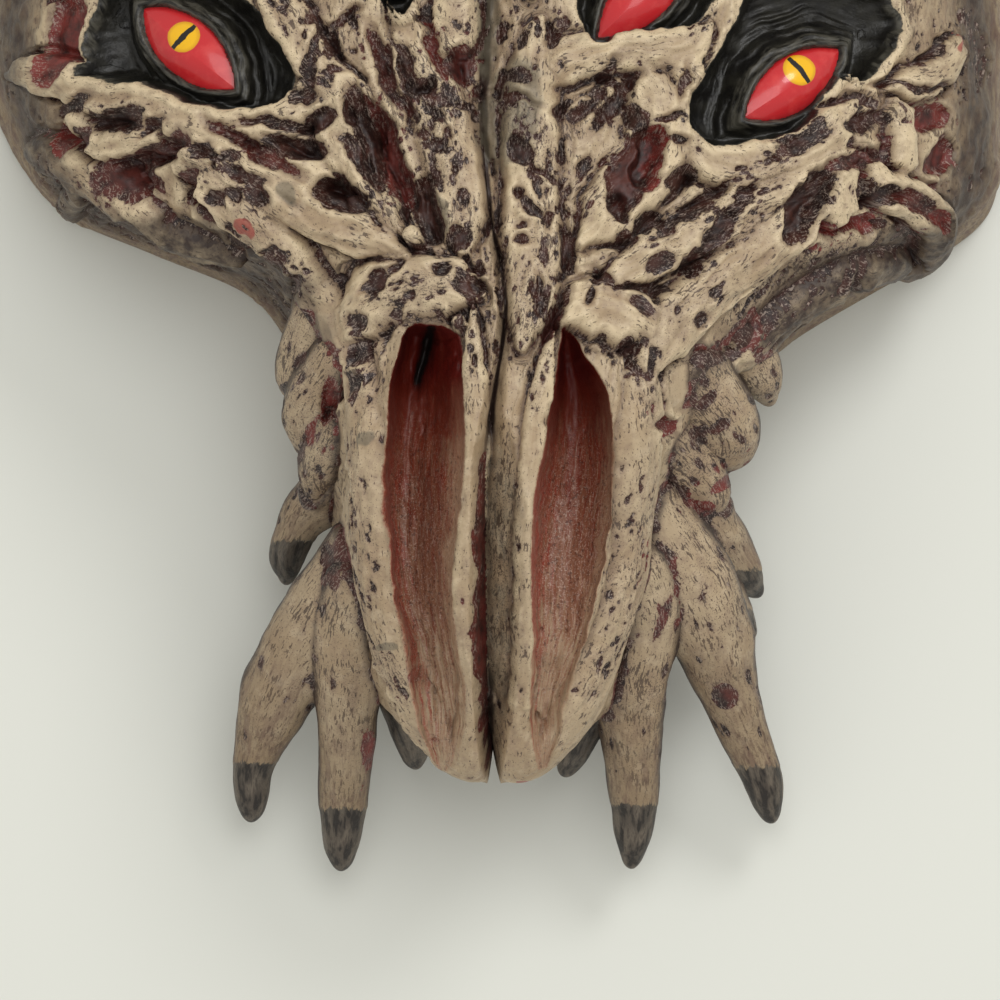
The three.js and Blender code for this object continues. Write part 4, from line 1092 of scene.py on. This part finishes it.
at["in_socket"] = spread(tree, at, 1.0, [("soot_edge", -0.05, 0.2)])

# The tan skin, with brushed crests, wash and painted shade in the low ground, painted shade lower down, on
# the steep flanks and where parts meet, and short dark dashes along the grain.
low_down = ("height", 62 * MM, 22 * MM)
bone = lay_coats(tree, at, "#ab977b", [
    ("#a08a6e", 1.0, ("broad", 0.42, 0.62)),
    ("#bba78b", 1.0, ("middling", 0.5, 0.72)),
    ("#cebb9a", 0.8, ("crest", 0.2, 1.2)),
    ("#8d7960", 0.4, ("strand", 0.56, 0.7)),
    # Wash and painted shade in the low ground between the crests.
    ("#66513f", 0.7, ("crest", -0.1, -1.1)),
    ("#7a6456", 0.5, ("haze", -1.0, 0.2)),
    ("#43332b", 0.8, ("in_dash", 0.0, 1.0)),
    ("#43362f", 0.7, ("pepper", 0.65, 0.69)),
    # Painted shade: darker lower down, nearer the table, on the claws and the low edges of the cheeks. The
    # purple-brown streaks and blotches after it are wash, laid only there.
    ("#736047", 0.75, low_down),
    ("#553d34", 0.65, ("strand", 0.48, 0.62), low_down),
    ("#5f443b", 0.6, ("blotch", 0.5, 0.6), low_down),
    # Wash and painted shade: on the steep flanks, down the bottom of the cleft, round the eyes, and where the
    # claws meet the face and each other.
    ("#33251f", 1.0, ("dirt_and_shade", 0.3, 0.8)),
    ("#8c3530", 0.8, ("sore", 0.85, 1.15)),
    ("#625b4c", 0.65, ("mildew", 1.0, 1.6)),
])
# Pits: dark purple flesh, in places red, with pale flecks that run along the grain.
flesh = lay_coats(tree, at, "#200e0a", [
    ("#42231b", 1.0, ("middling", 0.4, 0.64)),
    ("#762a24", 1.0, ("red", 0.0, 1.0), ("middling", 0.3, 0.6)),
    ("#a8978a", 0.7, ("flecks", 0.56, 0.6), ("pit", 2.4, -0.1)),
])
# Sockets: soot black with green-grey brushed over the folds.
soot = lay_coats(tree, at, "#100e0b", [
    ("#211f19", 1.0, ("middling", 0.4, 0.65)),
    ("#6c685c", 0.4, ("crest", 0.1, 0.9), ("strand", 0.42, 0.6)),
])
# Nostrils: dark red under the flap, then brown and pink strands, with a brick-red edge on the left side.
lining = lay_coats(tree, at, "#560e05", [
    ("#75301c", 1.0, ("tone", 0.14, 0.36)),
    ("#7b4f3a", 1.0, ("down_nostril", 0.3, 0.62)),
    ("#98775c", 1.0, ("down_nostril", 0.7, 1.15)),
    ("#6a2417", 0.6, ("wide_strand", 0.54, 0.66)),
    ("#b19d90", 0.35, ("fibre", 0.54, 0.64), ("tone", 0.2, 0.5)),
    ("#a08569", 0.6, ("right_side", 0.5, 0.85), ("tone", 0.15, 0.4)),
    ("#96352a", 0.6, ("left_side", -0.45, -0.95), ("tone", 0.3, 0.55)),
    ("#3a1d16", 0.6, ("fine", 0.56, 0.64), ("tone", 0.15, 0.4)),
    ("#c0ab9a", 0.4, ("grit", 0.56, 0.62), ("tone", 0.2, 0.5)),
    ("#120604", 1.0, ("slot", 0.35, 0.8)),
])
# Horn: the claws' dark tips, streaked lengthwise.
horn = lay_coats(tree, at, "#221b16", [
    ("#665c50", 1.0, ("horn_streak", 0.42, 0.62)),
    ("#3b322a", 0.7, ("strand", 0.55, 0.65)),
])
# All of it together, and the bare resin of the hollow.
painted = lay_coats(tree, at, bone, [
    (flesh, 1.0, ("in_pit", 0.0, 1.0)),
    (soot, 1.0, ("in_socket", 0.0, 1.0)),
    (lining, 1.0, ("gore_edge", 0.0, 0.4), ("down_nostril", 1.2, 0.85)),
    (horn, 1.0, ("horn_edge", -0.2, 0.3)),
    ("#857d70", 1.0, ("raw", 0.0, 1.0)),
])
tree.links.new(painted, shader.inputs["Base Color"])

# Satin paint, a little glossier in the sockets, with brush marks and grit too small to carve.
add_sums(tree, at, {
    "gloss": (0.34, ("fine", 0.3), ("in_socket", -0.1)),
    "dents": (0.0, ("fine", 0.4), ("grit", 0.25), ("in_pit", -0.7), ("strand", 0.35), ("in_dash", -0.3)),
})
tree.links.new(at["gloss"], shader.inputs["Roughness"])
shader.inputs["Specular IOR Level"].default_value = 0.4
bump = node(tree, "ShaderNodeBump", {"Height": at["dents"], "Strength": 0.6, "Distance": 0.5 * MM})
tree.links.new(bump.outputs["Normal"], shader.inputs["Normal"])

for side, side_name in ((1, "right"), (-1, "left")):
    places, looks = half_casting(side)
    for part_name, first, last in (("brow", 0, SNOUT_ROW), ("snout", SNOUT_ROW, ROWS - 1)):
        piece_places = places[first:last + 1]
        rows, columns = piece_places.shape[:2]
        piece_looks = {title: values[first:last + 1].reshape(rows * columns, *values.shape[2:])
                       for title, values in looks.items()}
        corner = np.zeros((rows, columns))
        cut = rows - 1 if part_name == "brow" else 0
        corner[cut] = 1
        corner[:, 0] = 1
        piece_looks["corner"] = corner.ravel()
        faces = net_faces(rows, columns, True, side > 0).tolist()
        ring = [cut * columns + j for j in range(columns)]
        faces.append(ring if (side > 0) == (part_name == "brow") else ring[::-1])
        add_piece(f"{part_name}_{side_name}", piece_places.reshape(-1, 3), faces, piece_looks, bone_paint)


# The claws: bone-coloured fingers with dark horny tips, cast in one with the face.
# Each is a round section carried along its own curve, closed at both ends, and swells where it meets others.
CLAW_SIDES = 48
CLAW_RINGS = 84
CAP_RINGS = 9
FOOT_ROUND = 0.8       # how far the rounded ends stand out, for a radius of 1
END_ROUND = 0.9
TAPER_LENGTH = 2.7     # length of the pointed end, in radii
TIP_LEVELS = {"left_long_outer": -149, "left_long_inner": -160.5, "right_long_outer": -150,
              "right_long_inner": -159.5, "left_under": -133, "right_under": -134, "right_low": -100,
              "right_lower": -110, "left_low": -93}
CLAW_SPOTS = [
    # Sores and pits on the claws: x, y, half length, half width, turn, depth, share of red.
    (58, -131.8, 3.6, 3.2, -40, 0.9, 0.25), (51.5, -122.5, 1, 1, 0, 0.4, 0),
    (-31.8, -145.5, 5.2, 1.9, 88, 0.5, 1), (-41.5, -57.5, 6.5, 2.2, 82, 4, 0.8),
    (-38.8, -83, 6, 2.6, 70, 1.4, 0.3), (-41, -99, 6, 2.4, -75, 1.2, 0.2),
    (47.5, -36, 4, 1.6, 40, 1, 0.6), (52.7, -57.5, 3, 1.6, 50, 1, 0.1),
    (55.8, -64.2, 2.4, 1.4, 40, 1, 0.1), (57.5, -63.5, 2, 1.2, 40, 1, 0.1),
    (58, -78, 5, 1.6, 35, 1.2, 0.8), (42, -112, 6, 1.2, 70, 0.8, 0.5),
]


def above_skin(points, samples, sample_out):
    """Distance of points above the plain face, by the nearest of its samples and the way that one looks."""
    nearest = np.concatenate([
        ((block[:, None] - samples[None]) ** 2).sum(-1).argmin(1) for block in np.array_split(points, 16)])
    return ((points - samples[nearest]) * sample_out[nearest]).sum(1), sample_out[nearest]


def claw_net(name, rows):
    """A tube round the curve through the rows, with rounded ends, creases along it and a step at the horn."""
    rows = np.array(rows, float)
    t = np.linspace(0, 1, CLAW_RINGS)
    course = smooth_rows(rows, t)
    centre, radius = course[:, :3], course[:, 3]
    ahead = np.gradient(centre, axis=0)
    ahead /= np.linalg.norm(ahead, axis=1, keepdims=True)
    side = np.cross(ahead, (0.0, 0.0, 1.0))
    side /= np.linalg.norm(side, axis=1, keepdims=True)
    above = np.cross(side, ahead)
    dome = np.linspace(0, math.pi / 2, CAP_RINGS + 1)[1:]
    foot = centre[0] - np.outer(np.sin(dome) * FOOT_ROUND * radius[0], ahead[0])
    end = centre[-1] + np.outer(np.sin(dome) * END_ROUND * radius[-1], ahead[-1])
    centre = np.vstack([foot[::-1], centre, end])
    to_end = np.concatenate([np.linalg.norm(centre[1:] - centre[:-1], axis=1)[::-1].cumsum()[::-1], [0]])
    point = np.sqrt(1 - np.clip(1 - to_end / (TAPER_LENGTH * radius[-1]), 0, 1) ** 2)
    radius = np.concatenate([radius[0] * np.cos(dome[::-1]), radius, np.full(CAP_RINGS, radius[-1])]) * point
    side = np.pad(side, [(CAP_RINGS, CAP_RINGS), (0, 0)], mode="edge")
    above = np.pad(above, [(CAP_RINGS, CAP_RINGS), (0, 0)], mode="edge")
    angle = np.linspace(0, 2 * math.pi, CLAW_SIDES, endpoint=False)
    ring = np.cos(angle)[None, :, None] * side[:, None] + np.sin(angle)[None, :, None] * above[:, None]
    points = (centre[:, None] + ring * radius[:, None, None]).reshape(-1, 3)
    out = ring.reshape(-1, 3)
    travelled = np.concatenate([[0], np.cumsum(np.linalg.norm(np.diff(centre, axis=0), axis=1))])
    lengthwise = np.repeat(travelled, CLAW_SIDES) + 200 * len(name)
    around = np.stack([np.cos(angle), np.sin(angle)], -1)[None] * radius[:, None, None]
    grain_at = np.column_stack([lengthwise * 0.22, around.reshape(-1, 2)])
    body = np.repeat(np.minimum(radius / radius[CAP_RINGS], 1) * (radius > 0.5), CLAW_SIDES)
    tip = TIP_LEVELS.get(name, -999) - points[:, 1]
    swell = 0.5 * rough(points, 9.0, 211) - 0.3 * np.maximum(rough(grain_at, 2.6, 201), 0)
    swell -= 0.3 * step(-0.3, 0.5, tip) + 0.25 * step(0, 1, tip) * rough(grain_at * (0.5, 1, 1), 1.6, 231)
    points = points + out * (swell * body)[:, None]

    pit, red = np.full(len(points), NOT_IN), np.zeros(len(points))
    for x, y, long, wide, turn, deep, flesh in CLAW_SPOTS:
        a, b = local(points + 0.5 * rough(points, 2.5, 241)[:, None], x, y, turn)
        inside = (1 - np.hypot(a / long, b / wide)) * wide
        inside = np.where(out[:, 2] > 0.1, inside, NOT_IN)
        points[:, 2] -= deep * step(-0.1, 0.9, inside)
        red = np.where(inside > pit, flesh, red)
        pit = np.maximum(pit, inside)
    flow = np.repeat(np.gradient(centre, axis=0), CLAW_SIDES, 0)
    flow /= np.linalg.norm(flow, axis=1, keepdims=True)
    thick = 0.5 + 0.5 * rough(points, 10.0, 221)
    thick += 0.4 * step(0.7, 0.1, out[:, 2]) + 0.3 * step(-92, -76, points[:, 1])
    thick *= step(3, -4, tip)
    holes = pores(points, flow, 3.2, 2.6, 0.95, np.minimum(thick, 1), 9)
    points -= out * (0.5 * step(-0.1, 0.5, holes))[:, None]

    height, skin_out = above_skin(points, sample_places, sample_out)
    others = np.abs(outside_claws(points, name))
    free = np.minimum(np.where(height > -2, np.abs(height), 9) * COLLAR_CLAWS / COLLAR, others)
    points += out * (np.maximum(COLLAR_CLAWS - free, 0) ** 2 / (3 * COLLAR_CLAWS) * body)[:, None]
    deep_in = np.minimum(height + 3.6, 0)
    points -= skin_out * deep_in[:, None]
    seam = 0.5 - np.minimum(np.maximum(height, 0), others) / 1.5 + 1.5 * rough(points, 6.0, 311)
    seam = np.where(out[:, 2] > -0.3, seam, NOT_IN) - 6 * step(-6, 0, tip)
    pit = np.maximum(np.maximum(pit, holes), seam)
    looks = {
        "tip": tip,
        "crest": 0.4 * swell,
        "sponge": thick,
        "pit": pit,
        "red": red,
        # Wash and painted shade: darker on the sides and undersides that turn away from above, and where a
        # claw meets the others or the face.
        "wash": np.maximum(0.9 * step(0.7, 0.0, out[:, 2]), 0.8 * np.exp(-free / 1.6)) * step(4, -2, tip),
        "soot": np.full(len(points), NOT_IN),
        "gore": np.full(len(points), NOT_IN),
        "grain": grain_at,
    }
    return points, looks


sample_v, sample_turn = np.meshgrid(np.linspace(0.36, 0.98, 90), np.linspace(0.0, math.pi, 90), indexing="ij")
sample_places = rib_point(sample_v, sample_turn)
sample_out = -facing(sample_places).reshape(-1, 3)
sample_places = sample_places.reshape(-1, 3)

claw_nets = [claw_net(name, rows) for name, rows in CLAWS.items()]
add_piece("claws", *join_nets(claw_nets, CLAW_SIDES), bone_paint)


# The eyes: smooth almond lenses of the same resin, gloss red with a yellow iris and a black slit.
# Each is a dome over its almond outline, set square to the face and sunk in its lids.
EYE_RINGS = 36
EYE_SIDES = 80
EYE_BULGE = 3.6        # height of the dome over its edge
EYE_THICKNESS = 2.0    # from the dome down to its back
LONG_MARGIN = 0.9      # how far it reaches in under the lids, at its corners and at its sides
WIDE_MARGIN = 0.7
eye_paint, tree, shader = new_material("gloss_enamel_on_eyes")
eye_at = {name: node(tree, "ShaderNodeAttribute", attribute_name=name).outputs["Fac"]
          for name in ("along", "across", "outline")}
eye_place = node(tree, "ShaderNodeTexCoord").outputs["Object"]
add_noises(tree, eye_at, eye_place, MM, {"shaky": (2.2, 3.0), "cloudy": (4.0, 3.0)})
in_plane = node(tree, "ShaderNodeCombineXYZ", {"X": eye_at["along"], "Y": eye_at["across"]}).outputs["Vector"]
eye_at["from_iris"] = node(tree, "ShaderNodeVectorMath", {0: in_plane}, operation="LENGTH").outputs["Value"]
add_sums(tree, eye_at, {"bent": (-0.45, ("along", 1.0), ("shaky", 0.9))})
for name, value in (("off_slit", "bent"), ("off_middle", "across")):
    eye_at[name] = node(tree, "ShaderNodeMath", {0: eye_at[value]}, operation="ABSOLUTE").outputs["Value"]
add_sums(tree, eye_at, {
    "iris_edge": (-0.15, ("from_iris", 1.0), ("shaky", 0.3)),
    "slit_edge": (-0.74, ("off_slit", 1.0), ("off_middle", 0.07)),
})
yellow = lay_coats(tree, eye_at, "#e6b00c", [("#c98e07", 1.0, ("from_iris", 3.0, 4.1))])
eye_colour = lay_coats(tree, eye_at, "#bd2429", [
    # Painted shade: the red is darker near the edge, where the eye goes in under the lids.
    ("#8f1418", 1.0, ("outline", -1.8, 0.0)),
    ("#cf4340", 0.45, ("cloudy", 0.5, 0.7)),
    (yellow, 1.0, ("iris_edge", 4.05, 3.9)),
    ("#14110c", 1.0, ("slit_edge", 0.1, -0.02), ("off_middle", 4.0, 3.8)),
])
tree.links.new(eye_colour, shader.inputs["Base Color"])
shader.inputs["Roughness"].default_value = 0.25
shader.inputs["Specular IOR Level"].default_value = 0.35
shader.inputs["Coat Weight"].default_value = 0.3
shader.inputs["Coat Roughness"].default_value = 0.06


def eye_net(eye, iris):
    """A dome over an almond: rings shrink its outline to the middle, and its height falls to the edge."""
    x, y, long, wide, turn, out = eye_seat(eye)
    long, wide = long + LONG_MARGIN, wide + WIDE_MARGIN
    angle = np.linspace(0, 2 * math.pi, EYE_SIDES, endpoint=False)
    radius = (long ** 2 + wide ** 2) / (2 * wide)
    a_edge = long * np.cos(angle)
    b_edge = np.sign(np.sin(angle)) * (np.sqrt(np.maximum(radius ** 2 - a_edge ** 2, 0)) - radius + wide)
    ring = np.linspace(0, 1, EYE_RINGS)[:, None]
    a, b = ring * a_edge, ring * b_edge
    lift = EYE_BULGE * (1 - ring ** 2) * np.ones(EYE_SIDES) * (1 - 0.5 * (a / long) ** 2) - 2.2
    c, s = math.cos(math.radians(turn)), math.sin(math.radians(turn))
    px, py = x + a * c - b * s, y + a * s + b * c
    surface = face_height(px.ravel(), py.ravel()).reshape(px.shape)
    points = np.stack([px, py, surface], -1) + (lift - LID_DROP + 0.9)[..., None] * out
    back = points - (0, 0, EYE_THICKNESS)
    iris_a, iris_b = local(np.array([iris]), eye[0], eye[1], turn)
    looks = {"along": a - iris_a, "across": b - iris_b, "outline": almond(a, b, long, wide)}
    return np.vstack([points, back[::-1]]).reshape(-1, 3), {
        title: np.tile(values.ravel(), 2) for title, values in looks.items()}


eye_nets = [eye_net(socket["eye"], socket["iris"]) for socket in SOCKETS.values()]
add_piece("eyes", *join_nets(eye_nets, EYE_SIDES), eye_paint)
